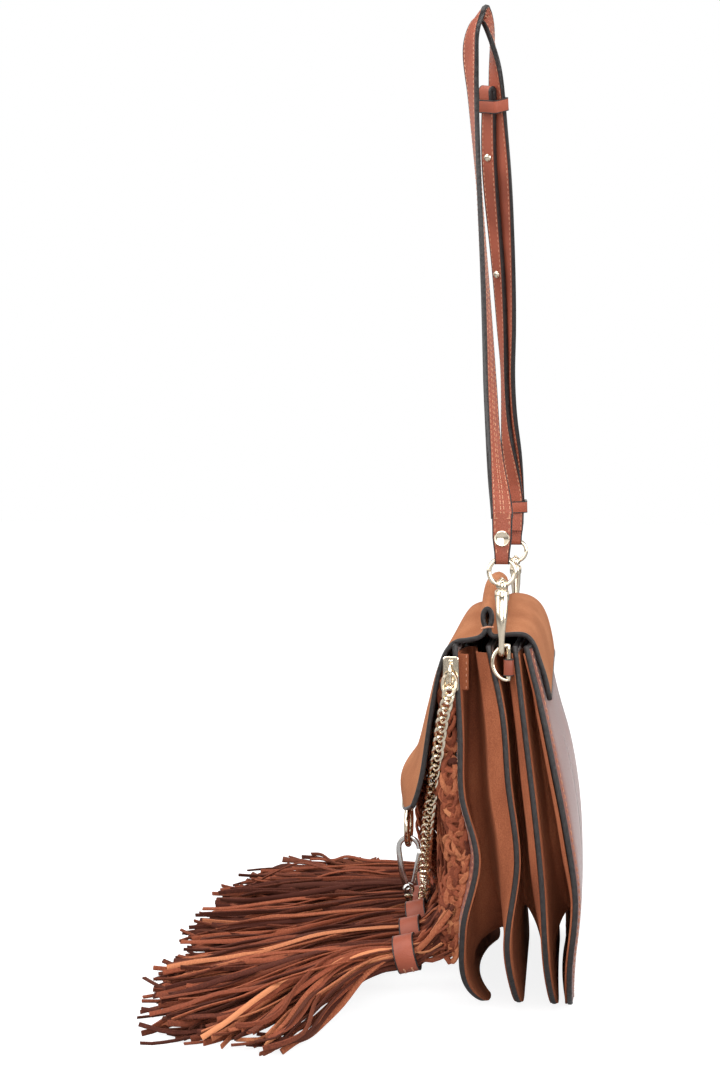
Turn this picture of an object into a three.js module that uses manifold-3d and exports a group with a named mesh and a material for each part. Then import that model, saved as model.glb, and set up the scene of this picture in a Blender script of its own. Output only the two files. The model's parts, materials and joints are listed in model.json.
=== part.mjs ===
// A fringed suede shoulder bag of the accordion saddle kind: four leather leaves joined by three
// folded gussets, a suede flap with a pinched ridge, a crocheted lace front with six tassels, a curb
// chain that clips to a ring on the flap, and a strap on two swivel snap hooks.
// Millimetres, +Z up, front of the bag towards -Y, right-hand end towards +X. The origin lies on the
// table, in the middle of the front divider's bottom rim.
import * as THREE from 'three';
import Module from 'manifold-3d';
import { mergeVertices } from 'three/addons/utils/BufferGeometryUtils.js';

const wasm = await Module();
wasm.setup();

// Driving dimensions of the bag
const bagHeight = 222;
const bodyHalfWidth = 120;
const topHalfWidth = 112;
const cornerRadius = 60;
const leafThickness = 2.4;
const gussetThickness = 1.1;
const gussetTopDrop = 5;
const gap = 0.3;
const frontFold = 40;
const middleFold = 50;
const rearFold = 45;
const leafColumns = 12;
const cornerSteps = 5;

// Crocheted front and its tassels
const crochetThickness = 9;
const crochetGap = 0.5;
const crochetHalfWidth = 104;
const crochetBottom = 42;
const crochetTopDrop = 18;
const tasselPitch = 38;
const tasselCount = 6;
const tasselWidth = 19;
const rootHeight = 9;
const tasselHeight = 18;
const bandWall = 1.5;
const bandSlack = 0.65;
const bandLength = 12;
const bandY = -67;
const bandZ = 35;
const fringeTipWidth = 46;
const fringeTipHeight = 10;
const fringeSpread = 1.65;
const fringeReach = 225;
const fringeSetBack = 40;
const rootShare = 0.38;

// Flap, its ring and the clip
const flapThickness = 2.2;
const flapHalfWidth = 104;
const hingeY = 1;
const hingeRise = 19.5;
const anchorDome = 5;
const shoulderShare = 0.7;
const anchorDrop = 28;
const anchorGap = 0.9;
const flapRingRadius = 13;
const flapRingWire = 4;
const clampWidth = 8;
const clampWall = 1.6;
const clipWire = 3.2;
const clipLength = 34;
const clipHalfWidth = 6.5;
const pivotRadius = 3.3;
const pinRadius = 1.2;
const ferruleRadius = 3;
const ferruleLength = 10;
const swivelRadius = 3.8;
const swivelLength = 4;

// Chain and its plate
const chainDiameter = 5.6;
const plateHeight = 20;
const plateWidth = 9;
const plateThickness = 2;
const plateDrop = 16;
const stapleWire = 2.4;

// End rings, snap hooks and strap
const dRingWire = 2.8;
const dRingHeight = 20;
const dRingReach = 9.2;
const dRingDrop = 9;
const tabHeight = 9.5;
const tabWall = 1;
const runClearance = 0.3;
const hookWire = 4;
const hookBend = 4;
const hookLength = 36;
const hookSpine = 4.4;
const hookHeadRadius = 4.2;
const hookHeadHeight = 7;
const hookTipRise = 2.6;
const gateWire = 2.4;
const stemRadius = 1;
const stemHead = 2;
const bossRadius = 3.2;
const bossHeight = 5;
const eyeRadius = 7.5;
const eyeWire = 2.8;
const strapWidth = 12;
const strapThickness = 3;
const strapRise = 337;
const strapLift = 4;
const strapEndLength = 26;
const strapEndWidth = 10;
const layerGap = 0.5;
const keeperWall = 1.6;
const keeperLength = 8;
const keeperSlack = 4;
const capRadius = 4.5;
const studRadius = 2.6;

// Near-edge and middle lines of each leaf: [share of the height, Y]
const leafLines = {
  front_panel: {
    edge: [[0, -19.5], [0.08, -29.5], [0.25, -32], [0.45, -24], [0.61, -33], [0.76, -34], [1, -37.5]],
    middle: [[0, -21.5], [0.09, -33.5], [0.27, -43.5], [0.5, -45.5], [0.76, -41.5], [1, -35.5]],
  },
  front_divider: {
    edge: [[0, 0], [0.07, -2.5], [0.2, -6.4], [0.45, -1], [0.65, -6.5], [0.81, -9.5], [1, -18.2]],
    middle: [[0, 0], [0.36, -5.5], [0.68, -9.5], [1, -17.5]],
  },
  rear_divider: {
    edge: [[0, 21.1], [0.15, 16.6], [0.39, 13.1], [0.57, 8.9], [0.74, 4.2], [1, -3]],
    middle: [[0, 20.5], [0.36, 14.5], [0.68, 8.5], [1, -0.5]],
  },
  back_panel: {
    edge: [[0, 29], [0.15, 28.9], [0.35, 32], [0.51, 27], [0.68, 19.5], [0.81, 13.5], [1, 3]],
    middle: [[0, 29.5], [0.36, 36.5], [0.55, 33.5], [0.67, 28.5], [0.78, 20.5], [0.9, 14.5], [1, 6.5]],
  },
};

// Flap profile from the hinge forward, [dy, dz] at the side edge and at the middle
const flapLines = [
  { edge: [-0.2, -12.2], middle: [-0.2, -0.2] },
  { edge: [-8.5, -12.5], middle: [-8.5, 1.5] },
  { edge: [-16, -13], middle: [-15.5, -0.5] },
  { edge: [-18.4, -10.5], middle: [-18, 2] },
  { edge: [-16.1, -4.5], middle: [-14.5, 7] },
  { edge: [-17.1, 0.5], middle: [-15, 12.5] },
  { edge: [-20, 2.5], middle: [-19.5, 15.5] },
  { edge: [-22.9, 0.5], middle: [-24, 12.5] },
  { edge: [-23.9, -4.5], middle: [-24.8, 7] },
  { edge: [-21.6, -10.5], middle: [-21.8, 1] },
  { edge: [-24.5, -14.5], middle: [-26, -4.5] },
  { edge: [-31, -16], middle: [-32, -5.2] },
  { edge: [-38, -15.5], middle: [-37.5, -9] },
  { edge: [-43.5, -19], middle: [-42.5, -18.5] },
  { edge: [-47, -25.5], middle: [-47.5, -28] },
  { edge: [-50, -39], middle: [-54.5, -42] },
  { edge: [-53.5, -63.5], middle: [-60.5, -64] },
  { edge: [-57.5, -91.5], middle: [-68.5, -94] },
  { edge: [-60.5, -105.5], middle: [-79, -112] },
  { edge: [-63.5, -114.5], middle: [-76.5, -131] },
];

// Strap route: [share of the end ring's X, Y from the ring, share of the rise]
const nearLeg = [
  [1, 0, 0], [0.98, -0.5, 0.07], [0.8, -5.7, 0.196], [0.56, -9, 0.444], [0.37, -13.7, 0.63],
  [0.172, -20.1, 0.827], [0.06, -23.5, 0.948],
];
const archTop = [0, -18, 1];
const farLeg = [
  [-0.075, -12, 0.934], [-0.216, -9.5, 0.813], [-0.371, -6.2, 0.669], [-0.586, -3.7, 0.481],
  [-0.793, -2.7, 0.285], [-0.93, -1.2, 0.15], [-0.998, -0.1, 0.07], [-1, 0, 0.035], [-1, 0, 0],
];
// Turn of the strap's face about its own run: [share of the rise up, then 2 - share down, degrees]
const strapTurn = [
  [0, 0], [0.07, 15], [0.15, 50], [0.3, 66], [0.5, 84], [0.7, 98], [0.85, 106], [0.93, 120], [1, 100],
  [1.1, 60], [1.24, 30], [1.4, 40], [1.57, 58], [1.67, 72], [1.76, 60], [1.84, 25], [1.9, 0], [2, 0],
];
// Offset of the extension across the far leg: [share of the rise, offset]
const extensionOffset = [[0, 0], [0.08, 0], [0.25, -2.5], [0.52, -5.5], [0.76, -7], [0.87, -3]];
const extensionTop = 0.87;
const extensionFoot = 0.01;
const upperKeeperAt = 0.845;
const lowerKeeperAt = 0.062;
const upperStudAt = 0.752;
const lowerStudAt = 0.533;

// Places that follow from the driving dimensions
const hingeZ = bagHeight + hingeRise;
const [flapTipReach, flapTipFall] = flapLines.at(-1).middle;
const flapTipZ = hingeZ + flapTipFall - flapThickness / 2 - gap;
const clampSag = flapRingRadius - Math.sqrt(flapRingRadius ** 2 - (clampWidth / 2) ** 2);
const clampBore = flapRingWire / 2 + clampSag + runClearance;
const ringZ = flapTipZ - gap - clampWall - clampBore - flapRingRadius;
const flapRingY = hingeY + flapTipReach;
const dRingZ = bagHeight - dRingDrop;
const endRim = halfWidthAt(dRingZ - dRingHeight / 2 - dRingWire / 2);
const dRingX = endRim + tabWall + runClearance + dRingWire / 2;
const dRingY = -6.3;
const hookY = dRingY - dRingWire / 2 - hookWire / 2 - 2 * runClearance;
const topWireZ = dRingZ + (dRingHeight / 2) * Math.sqrt(1 - ((dRingY - hookY) / dRingReach) ** 2);
const bendClearance = 0.6;
const bendZ = topWireZ - dRingWire / 2 - hookWire / 2 - runClearance - bendClearance;
const tabTop = bendZ - hookWire / 2 - 2 * runClearance;
const hookTopZ = dRingZ + dRingHeight / 2 - hookBend + hookLength;
const eyeZ = hookTopZ + runClearance + bossHeight / 2 + eyeRadius;
const strapEndZ = eyeZ + eyeRadius;

const bandAlong = new THREE.Vector3(0, -0.97, -0.24);

const materials = {
  suede: new THREE.MeshStandardMaterial({ color: 0xc87d4b, roughness: 0.95, metalness: 0 }),
  gusset: new THREE.MeshStandardMaterial({ color: 0xaf5f37, roughness: 0.95, metalness: 0 }),
  leather: new THREE.MeshStandardMaterial({ color: 0x783c32, roughness: 0.35, metalness: 0 }),
  strap: new THREE.MeshStandardMaterial({ color: 0xa55844, roughness: 0.5, metalness: 0 }),
  lace: new THREE.MeshStandardMaterial({ color: 0x965032, roughness: 0.9, metalness: 0 }),
  gold: new THREE.MeshStandardMaterial({ color: 0xe1c8a5, roughness: 0.2, metalness: 1 }),
  silver: new THREE.MeshStandardMaterial({ color: 0xc8c6c3, roughness: 0.2, metalness: 1 }),
};

const bag = new THREE.Group();

function vec(x, y, z) {
  return new THREE.Vector3(x, y, z);
}

function addMesh(name, geometry, material) {
  const mesh = new THREE.Mesh(geometry, material);
  mesh.name = name;
  bag.add(mesh);
}

// Value of a [position, value] table at a position, on straight lines between its rows
function tableValue(table, position) {
  let row = 1;
  while (row < table.length - 1 && position > table[row][0]) row += 1;
  const [startAt, startValue] = table[row - 1];
  const [endAt, endValue] = table[row];
  return THREE.MathUtils.mapLinear(position, startAt, endAt, startValue, endValue);
}

// Closed body from a list of points and triangles, turned so that its faces point out
function closedBody(points, triangles) {
  let volume = 0;
  for (const [a, b, c] of triangles) {
    volume += points[a].dot(vec(0, 0, 0).crossVectors(points[b], points[c]));
  }
  const ordered = volume < 0 ? triangles.map(([a, b, c]) => [a, c, b]) : triangles;
  const geometry = new THREE.BufferGeometry();
  const coordinates = points.flatMap((point) => [point.x, point.y, point.z]);
  geometry.setAttribute('position', new THREE.Float32BufferAttribute(coordinates, 3));
  geometry.setIndex(ordered.flat());
  geometry.computeVertexNormals();
  return geometry;
}

// Sheet between two matching grids of points, closed round its rim
function sheetBody(front, back) {
  const rows = front.length;
  const columns = front[0].length;
  const points = [...front.flat(), ...back.flat()];
  const frontAt = (row, column) => row * columns + column;
  const backAt = (row, column) => rows * columns + row * columns + column;
  const triangles = [];
  const quad = (a, b, c, d) => triangles.push([a, b, c], [a, c, d]);
  for (let row = 0; row < rows - 1; row += 1) {
    for (let column = 0; column < columns - 1; column += 1) {
      const next = column + 1;
      quad(frontAt(row, column), frontAt(row, next), frontAt(row + 1, next), frontAt(row + 1, column));
      quad(backAt(row, column), backAt(row + 1, column), backAt(row + 1, next), backAt(row, next));
    }
    const last = columns - 1;
    quad(frontAt(row, 0), frontAt(row + 1, 0), backAt(row + 1, 0), backAt(row, 0));
    quad(frontAt(row, last), backAt(row, last), backAt(row + 1, last), frontAt(row + 1, last));
  }
  for (let column = 0; column < columns - 1; column += 1) {
    const next = column + 1;
    const last = rows - 1;
    quad(frontAt(0, column), backAt(0, column), backAt(0, next), frontAt(0, next));
    quad(frontAt(last, column), frontAt(last, next), backAt(last, next), backAt(last, column));
  }
  return closedBody(points, triangles);
}

// Body through a list of convex rings with equal counts, capped, or joined end to start
function ringBody(rings, joined = false) {
  const sides = rings[0].length;
  const points = rings.flat();
  const triangles = [];
  const spans = joined ? rings.length : rings.length - 1;
  for (let ring = 0; ring < spans; ring += 1) {
    const here = ring * sides;
    const there = ((ring + 1) % rings.length) * sides;
    for (let side = 0; side < sides; side += 1) {
      const next = (side + 1) % sides;
      triangles.push([here + side, here + next, there + next]);
      triangles.push([here + side, there + next, there + side]);
    }
  }
  const last = (rings.length - 1) * sides;
  for (let side = 1; side < sides - 1 && !joined; side += 1) {
    triangles.push([0, side + 1, side], [last, last + side, last + side + 1]);
  }
  return closedBody(points, triangles);
}

// Ellipse of points round a centre, in the plane of two directions
function ellipseRing(centre, across, up, halfWidth, halfHeight, sides) {
  return Array.from({ length: sides }, (_, side) => {
    const angle = (2 * Math.PI * side) / sides;
    return centre.clone()
      .addScaledVector(across, halfWidth * Math.cos(angle))
      .addScaledVector(up, halfHeight * Math.sin(angle));
  });
}

// Round bar along points that lie in the plane square to planeNormal
function barBody(path, planeNormal, radius, sides, joined = false) {
  const count = path.length;
  const rings = path.map((point, index) => {
    const before = path[joined ? (index + count - 1) % count : Math.max(index - 1, 0)];
    const after = path[joined ? (index + 1) % count : Math.min(index + 1, count - 1)];
    const along = after.clone().sub(before).normalize();
    const inPlane = vec(0, 0, 0).crossVectors(along, planeNormal).normalize();
    return ellipseRing(point, inPlane, planeNormal, radius, radius, sides);
  });
  return ringBody(rings, joined);
}

function cylinderBody(centre, axis, radius, length, sides = 16) {
  const geometry = new THREE.CylinderGeometry(radius, radius, length, sides);
  const turn = new THREE.Quaternion().setFromUnitVectors(vec(0, 1, 0), axis);
  geometry.applyQuaternion(turn);
  geometry.translate(centre.x, centre.y, centre.z);
  return geometry;
}

function boxBody(low, high) {
  const size = high.clone().sub(low);
  const geometry = new THREE.BoxGeometry(size.x, size.y, size.z);
  geometry.translate((low.x + high.x) / 2, (low.y + high.y) / 2, (low.z + high.z) / 2);
  return geometry;
}

function toSolid(geometry) {
  const bare = geometry.clone();
  bare.deleteAttribute('normal');
  bare.deleteAttribute('uv');
  const merged = mergeVertices(bare, 1e-4);
  const mesh = new wasm.Mesh({
    numProp: 3,
    vertProperties: new Float32Array(merged.attributes.position.array),
    triVerts: new Uint32Array(merged.index.array),
  });
  return new wasm.Manifold(mesh);
}

function fromSolid(solid) {
  const mesh = solid.getMesh();
  const geometry = new THREE.BufferGeometry();
  geometry.setAttribute('position', new THREE.Float32BufferAttribute(mesh.vertProperties, 3));
  geometry.setIndex(new THREE.Uint32BufferAttribute(mesh.triVerts, 1));
  geometry.computeVertexNormals();
  return geometry;
}

function joinBodies(...geometries) {
  return fromSolid(geometries.map(toSolid).reduce((whole, piece) => whole.add(piece)));
}

function cutBody(geometry, ...tools) {
  return fromSolid(tools.map(toSolid).reduce((whole, tool) => whole.subtract(tool), toSolid(geometry)));
}

// Half width of every leaf at a height: round lower corners, then a slight taper
function halfWidthAt(z) {
  if (z < cornerRadius) {
    const below = cornerRadius - z;
    return bodyHalfWidth - cornerRadius + Math.sqrt(cornerRadius ** 2 - below ** 2);
  }
  return THREE.MathUtils.mapLinear(z, cornerRadius, bagHeight, bodyHalfWidth, topHalfWidth);
}

// Y of a leaf's middle surface at a place on it
function leafY(leaf, x, z) {
  const share = z / bagHeight;
  const edge = tableValue(leafLines[leaf].edge, share);
  const middle = tableValue(leafLines[leaf].middle, share);
  const across = Math.min(Math.abs(x) / halfWidthAt(z), 1);
  return edge + (middle - edge) * (1 - across ** 2);
}

// Heights of a leaf's rows: even angles round the lower corners, then even steps
function leafHeights() {
  const sideSteps = 9;
  const corner = Array.from({ length: cornerSteps }, (_, step) => {
    return cornerRadius * (1 - Math.cos((Math.PI / 2) * (step / cornerSteps)));
  });
  const side = Array.from({ length: sideSteps + 1 }, (_, step) => {
    return cornerRadius + ((bagHeight - cornerRadius) * step) / sideSteps;
  });
  return [...corner, ...side];
}

// The leaf rows that lie between two heights, with those heights as first and last
function rowsBetween(low, high) {
  const apart = 0.5;
  return [low, ...leafHeights().filter((z) => z > low + apart && z < high - apart), high];
}

function leafBody(leaf) {
  const face = (offset) => leafHeights().map((z) => {
    return Array.from({ length: leafColumns + 1 }, (_, column) => {
      const x = halfWidthAt(z) * ((2 * column) / leafColumns - 1);
      return vec(x, leafY(leaf, x, z) + offset, z);
    });
  });
  return sheetBody(face(-leafThickness / 2), face(leafThickness / 2));
}

// Places along the rim of a leaf, from one top corner round the bottom to the other
function rimStations(foldDepth) {
  const bottomSteps = 4;
  const top = bagHeight - gussetTopDrop;
  const sideHeights = rowsBetween(cornerRadius, top).slice(1).reverse();
  const right = sideHeights.map((z) => ({ x: halfWidthAt(z), z, inX: -1, inZ: 0 }));
  for (let step = 0; step <= cornerSteps; step += 1) {
    const angle = (Math.PI / 2) * (step / cornerSteps);
    const x = bodyHalfWidth - cornerRadius + cornerRadius * Math.cos(angle);
    const z = cornerRadius * (1 - Math.sin(angle));
    right.push({ x, z, inX: -Math.cos(angle), inZ: Math.sin(angle) });
  }
  const left = right.map((place) => ({ ...place, x: -place.x, inX: -place.inX })).reverse();
  const flat = bodyHalfWidth - cornerRadius;
  const bottom = Array.from({ length: bottomSteps - 1 }, (_, step) => {
    return { x: flat - (2 * flat * (step + 1)) / bottomSteps, z: 0, inX: 0, inZ: 1 };
  });
  return [...right, ...bottom, ...left].map((place) => {
    return { ...place, foldX: place.x + place.inX * foldDepth, foldZ: place.z + place.inZ * foldDepth };
  });
}

// V-folded gusset between two leaves, folded inward by foldDepth along the sides and the bottom
function gussetBody(frontLeaf, backLeaf, foldDepth) {
  const clear = leafThickness / 2 + gap;
  const crease = gussetThickness + 0.2;
  const inner = 0.2;
  const stations = rimStations(foldDepth).map((place) => {
    const front = leafY(frontLeaf, place.x, place.z) + clear;
    const back = leafY(backLeaf, place.x, place.z) - clear;
    const foldFront = leafY(frontLeaf, place.foldX, place.foldZ);
    const foldMiddle = (foldFront + leafY(backLeaf, place.foldX, place.foldZ)) / 2;
    const rim = (y) => vec(place.x, y, place.z);
    const shy = (foldDepth - gussetThickness) / foldDepth;
    const fold = (y, reach) => {
      const x = place.x + (place.foldX - place.x) * reach;
      const z = place.z + (place.foldZ - place.z) * reach;
      return vec(x, y, z);
    };
    return {
      outside: [rim(front), fold(foldMiddle - crease, 1), fold(foldMiddle + crease, 1), rim(back)],
      inside: [
        rim(front + gussetThickness), fold(foldMiddle - inner, shy),
        fold(foldMiddle + inner, shy), rim(back - gussetThickness),
      ],
    };
  });
  return sheetBody(stations.map((one) => one.outside), stations.map((one) => one.inside));
}

function buildLeavesAndGussets() {
  for (const leaf of Object.keys(leafLines)) addMesh(leaf, leafBody(leaf), materials.leather);
  const folds = [
    ['front_gusset', 'front_panel', 'front_divider', frontFold],
    ['middle_gusset', 'front_divider', 'rear_divider', middleFold],
    ['rear_gusset', 'rear_divider', 'back_panel', rearFold],
  ];
  for (const [name, front, back, depth] of folds) {
    addMesh(name, gussetBody(front, back, depth), materials.gusset);
  }
}

// Y of the crocheted panel's front face
function crochetFrontY(x, z) {
  return leafY('front_panel', x, z) - leafThickness / 2 - crochetGap - crochetThickness;
}

function buildCrochet() {
  const columns = 10;
  const heights = rowsBetween(crochetBottom, bagHeight - crochetTopDrop);
  const face = (offset) => heights.map((z) => Array.from({ length: columns + 1 }, (_, column) => {
    const x = crochetHalfWidth * ((2 * column) / columns - 1);
    return vec(x, crochetFrontY(x, z) + offset, z);
  }));
  addMesh('crochet_panel', sheetBody(face(0), face(crochetThickness)), materials.lace);
}

// Tassels: from the crochet's lower front edge through a band and out over the table
function buildTassels() {
  const sides = 10;
  for (let index = 0; index < tasselCount; index += 1) {
    const x = tasselPitch * (index - (tasselCount - 1) / 2);
    const rootHalf = tasselPitch * rootShare;
    const rootZ = crochetBottom + rootHeight / 2;
    const rootEnds = [-0.7, 0, 0.7].map((end) => {
      return crochetFrontY(x + end * rootHalf, rootZ + rootHeight * 0.3);
    });
    const rootY = Math.min(...rootEnds);
    const outward = Math.abs(x) / (tasselPitch * 2.5);
    const tipY = -fringeReach + fringeSetBack * outward ** 2;
    const tipX = x * fringeSpread;
    const along = bandAlong;
    const bandCentre = vec(x, bandY, bandZ);
    const beside = (distance) => bandCentre.clone().addScaledVector(along, distance);
    const straight = bandLength / 2 + 1;
    const swell = (share, start, end) => start + (end - start) * share;
    const stations = [
      [vec(x, rootY - gap, rootZ), rootHalf * 2, rootHeight],
      [vec(x, (rootY + bandY) / 2 + 2, bandZ + 7.5), tasselWidth * 1.4, 11],
      [beside(-straight), tasselWidth, tasselHeight],
      [beside(straight), tasselWidth, tasselHeight],
    ];
    const floorRun = 6;
    for (let step = 1; step <= floorRun; step += 1) {
      const share = step / floorRun;
      const height = swell(share, tasselHeight + 8, fringeTipHeight);
      const place = beside(straight);
      const y = swell(share, place.y, tipY);
      const z = height / 2 + (place.z - tasselHeight / 2) * (1 - share) ** 3;
      const width = swell(share, tasselWidth, fringeTipWidth);
      stations.push([vec(swell(share, x, tipX), y, z), width, height]);
    }
    const rings = stations.map(([centre, width, height], place) => {
      const upright = place === 0 || place > 4;
      const up = upright ? vec(0, 0, 1) : vec(0, -along.z, along.y).multiplyScalar(-1);
      return ellipseRing(centre, vec(1, 0, 0), up, width / 2, height / 2, sides);
    });
    addMesh(`fringe_${index + 1}`, ringBody(rings), materials.lace);
    const bandUp = vec(0, -along.z, along.y).multiplyScalar(-1);
    const loop = (distance, grow) => {
      const halfWidth = tasselWidth / 2 + grow;
      return ellipseRing(beside(distance), vec(1, 0, 0), bandUp, halfWidth, tasselHeight / 2 + grow, 16);
    };
    const half = bandLength / 2;
    const outer = bandSlack + bandWall;
    const band = [loop(-half, bandSlack), loop(-half, outer), loop(half, outer), loop(half, bandSlack)];
    addMesh(`tassel_band_${index + 1}`, ringBody(band, true), materials.strap);
  }
}

// Flap profile at a share of its half width, thickened by offset along its own normal
function flapRow(share, offset, steps) {
  const lean = 1 - share ** 2;
  const knots = flapLines.map(({ edge, middle }) => {
    return new THREE.Vector2(
      hingeY + edge[0] + (middle[0] - edge[0]) * lean,
      hingeZ + edge[1] + (middle[1] - edge[1]) * lean,
    );
  });
  const curve = new THREE.SplineCurve(knots);
  return Array.from({ length: steps + 1 }, (_, step) => {
    const at = step / steps;
    const point = curve.getPoint(at);
    const along = curve.getTangent(at);
    const drop = flapThickness / 2;
    return vec(share * flapHalfWidth, point.x - along.y * offset, point.y + along.x * offset - drop);
  });
}

function buildFlap() {
  const columns = 8;
  const steps = 34;
  const face = (offset) => Array.from({ length: columns + 1 }, (_, column) => {
    return flapRow((2 * column) / columns - 1, offset, steps);
  });
  addMesh('flap', sheetBody(face(flapThickness / 2), face(-flapThickness / 2)), materials.suede);

  // Sewn part of the flap: over the back panel's top edge and down its back
  const behind = leafThickness / 2 + anchorGap;
  const anchorColumns = 12;
  const edgeFall = -flapLines[0].edge[1];
  const downBack = rowsBetween(bagHeight - anchorDrop, bagHeight).reverse();
  const anchorFace = (lift) => ['hinge', 'shoulder', ...downBack].map((row) => {
    return Array.from({ length: anchorColumns + 1 }, (_, column) => {
      const share = (2 * column) / anchorColumns - 1;
      const x = flapHalfWidth * share;
      const lean = 1 - share ** 2;
      if (row === 'hinge') {
        const fall = edgeFall * (1 - lean);
        return vec(x, hingeY + gap, hingeZ - flapThickness - fall + lift);
      }
      if (row === 'shoulder') {
        const over = leafY('back_panel', x, bagHeight) + lean * anchorDome / 2;
        const rise = THREE.MathUtils.lerp(hingeZ - edgeFall, hingeZ, lean) - bagHeight;
        const out = lift * shoulderShare;
        return vec(x, over + out, bagHeight + rise * shoulderShare + out);
      }
      const dome = (anchorDome * lean * (row - downBack.at(-1))) / anchorDrop;
      return vec(x, leafY('back_panel', x, row) + behind + dome + lift, row);
    });
  });
  addMesh('flap_anchor', sheetBody(anchorFace(0), anchorFace(flapThickness)), materials.suede);
}

// Ring of a round wire, standing in the XZ or YZ plane
function wireRing(centre, acrossAxis, radius, wire, steps) {
  const normal = vec(0, 0, 0).crossVectors(acrossAxis, vec(0, 0, 1));
  const path = ellipseRing(centre, acrossAxis, vec(0, 0, 1), radius, radius, steps);
  return barBody(path, normal, wire / 2, 8, true);
}

function buildFlapRingAndClip() {
  const across = vec(1, 0, 0);
  const wire = flapRingWire / 2;
  const ring = wireRing(vec(0, flapRingY, ringZ), across, flapRingRadius, flapRingWire, 28);
  addMesh('flap_ring', ring, materials.gold);

  // Clamp on the flap's lower middle: a block whose bore lets the ring's top wire swing
  const wireZ = ringZ + flapRingRadius;
  const outside = clampBore + clampWall;
  const low = vec(-clampWidth / 2, flapRingY - outside, wireZ - outside);
  const high = vec(clampWidth / 2, flapRingY + outside, flapTipZ - gap);
  const bore = cylinderBody(vec(0, flapRingY, wireZ), across, clampBore, clampWidth * 2);
  addMesh('flap_clamp', cutBody(boxBody(low, high), bore), materials.silver);

  // Clip: its bow goes over the ring's lowest wire, its gate closes the other side
  const arm = clipWire / 2;
  const bowTop = ringZ - flapRingRadius + wire + runClearance + arm;
  const bowZ = bowTop - clipHalfWidth;
  const pivotZ = bowTop - clipLength;
  const bow = [vec(0, flapRingY - 2.2, pivotZ + pivotRadius * 0.4)];
  bow.push(vec(0, flapRingY - clipHalfWidth * 0.8, pivotZ + clipLength * 0.35));
  const bowSteps = 8;
  for (let step = 0; step <= bowSteps; step += 1) {
    const angle = Math.PI - (Math.PI * 1.05 * step) / bowSteps;
    const y = flapRingY + clipHalfWidth * Math.cos(angle);
    bow.push(vec(0, y, bowZ + clipHalfWidth * Math.sin(angle)));
  }
  const tip = bow[bow.length - 1];
  const disc = cylinderBody(vec(0, flapRingY, pivotZ), across, pivotRadius, clipWire * 1.5);
  const pinHole = cylinderBody(vec(0, flapRingY, pivotZ), across, pinRadius + gap, clipWire * 4);
  const body = joinBodies(barBody(bow, across, arm, 8), disc);
  addMesh('clip_body', cutBody(body, pinHole), materials.silver);
  const pin = cylinderBody(vec(0, flapRingY, pivotZ), across, pinRadius, clipWire * 1.5 + 1);
  addMesh('clip_pin', pin, materials.silver);
  const gateFoot = vec(0, flapRingY + pivotRadius * 0.8, pivotZ + pivotRadius + gap / 2);
  const gateHead = vec(0, tip.y + 0.2, tip.z - arm - runClearance - 0.4);
  addMesh('clip_gate', barBody([gateFoot, gateHead], across, clipWire * 0.42, 8), materials.silver);
  const ferruleTop = pivotZ - pivotRadius - runClearance;
  const ferruleCentre = vec(0, flapRingY, ferruleTop - ferruleLength / 2);
  const ferrule = cylinderBody(ferruleCentre, vec(0, 0, 1), ferruleRadius, ferruleLength);
  addMesh('clip_ferrule', ferrule, materials.gold);
  const swivelTop = ferruleTop - ferruleLength - runClearance;
  const swivelCentre = vec(0, flapRingY, swivelTop - swivelLength / 2);
  const swivel = cylinderBody(swivelCentre, vec(0, 0, 1), swivelRadius, swivelLength);
  addMesh('clip_swivel', swivel, materials.gold);
  return swivelTop - swivelLength;
}

// Plate on the front panel's right rim, its staple, and the chain down to the clip's swivel
function buildChain(swivelBottom) {
  const plateZ = bagHeight - plateDrop;
  const rim = halfWidthAt(plateZ - plateHeight / 2) + gap;
  const rimY = leafY('front_panel', rim, plateZ) - plateWidth / 2 + leafThickness / 2;
  const low = vec(rim, rimY - plateWidth / 2, plateZ - plateHeight / 2);
  const high = vec(rim + plateThickness, rimY + plateWidth / 2, plateZ + plateHeight / 2);
  addMesh('chain_plate', boxBody(low, high), materials.gold);

  const stapleReach = 6;
  const stapleX = high.x + 2 * gap + 0.2;
  const legs = [-1, -0.8, -0.4, 0, 0.4, 0.8, 1].map((share) => {
    const bulge = Math.sqrt(Math.max(1 - share ** 2, 0)) * stapleReach;
    return vec(stapleX + bulge, rimY, plateZ + share * plateHeight * 0.3);
  });
  addMesh('chain_staple', barBody(legs, vec(0, 1, 0), stapleWire / 2, 8), materials.gold);

  const radius = chainDiameter / 2;
  const over = (x, z) => vec(x, crochetFrontY(x, z) - radius - 2 * gap, z);
  const route = [
    vec(stapleX + 2, rimY - plateWidth / 2 - radius - gap, plateZ - stapleWire - radius),
    over(crochetHalfWidth - 8, plateZ * 0.757),
    over(crochetHalfWidth * 0.68, plateZ * 0.573),
    over(crochetHalfWidth * 0.43, plateZ * 0.4).add(vec(0, -1.5, 0)),
    vec(crochetHalfWidth * 0.25, bandY + 5.5, swivelBottom + 29),
    vec(tasselPitch * 0.37, bandY + 4, swivelBottom + 24),
    vec(tasselPitch * 0.1, bandY + 2, swivelBottom + 10),
    vec(tasselPitch * 0.09, bandY, swivelBottom),
    vec(tasselPitch * 0.07, bandY - 2.5, swivelBottom - 6.5),
    vec(tasselPitch * 0.02, bandY - 5.5, swivelBottom - 7),
    vec(0, flapRingY, swivelBottom - radius - 0.6),
  ];
  const curve = new THREE.CatmullRomCurve3(route);
  const steps = 22;
  const section = new THREE.Shape();
  section.absarc(0, 0, radius, 0, 2 * Math.PI, false);
  const settings = { steps, extrudePath: curve, bevelEnabled: false, curveSegments: 4 };
  addMesh('curb_chain', new THREE.ExtrudeGeometry(section, settings), materials.gold);
}

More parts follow.
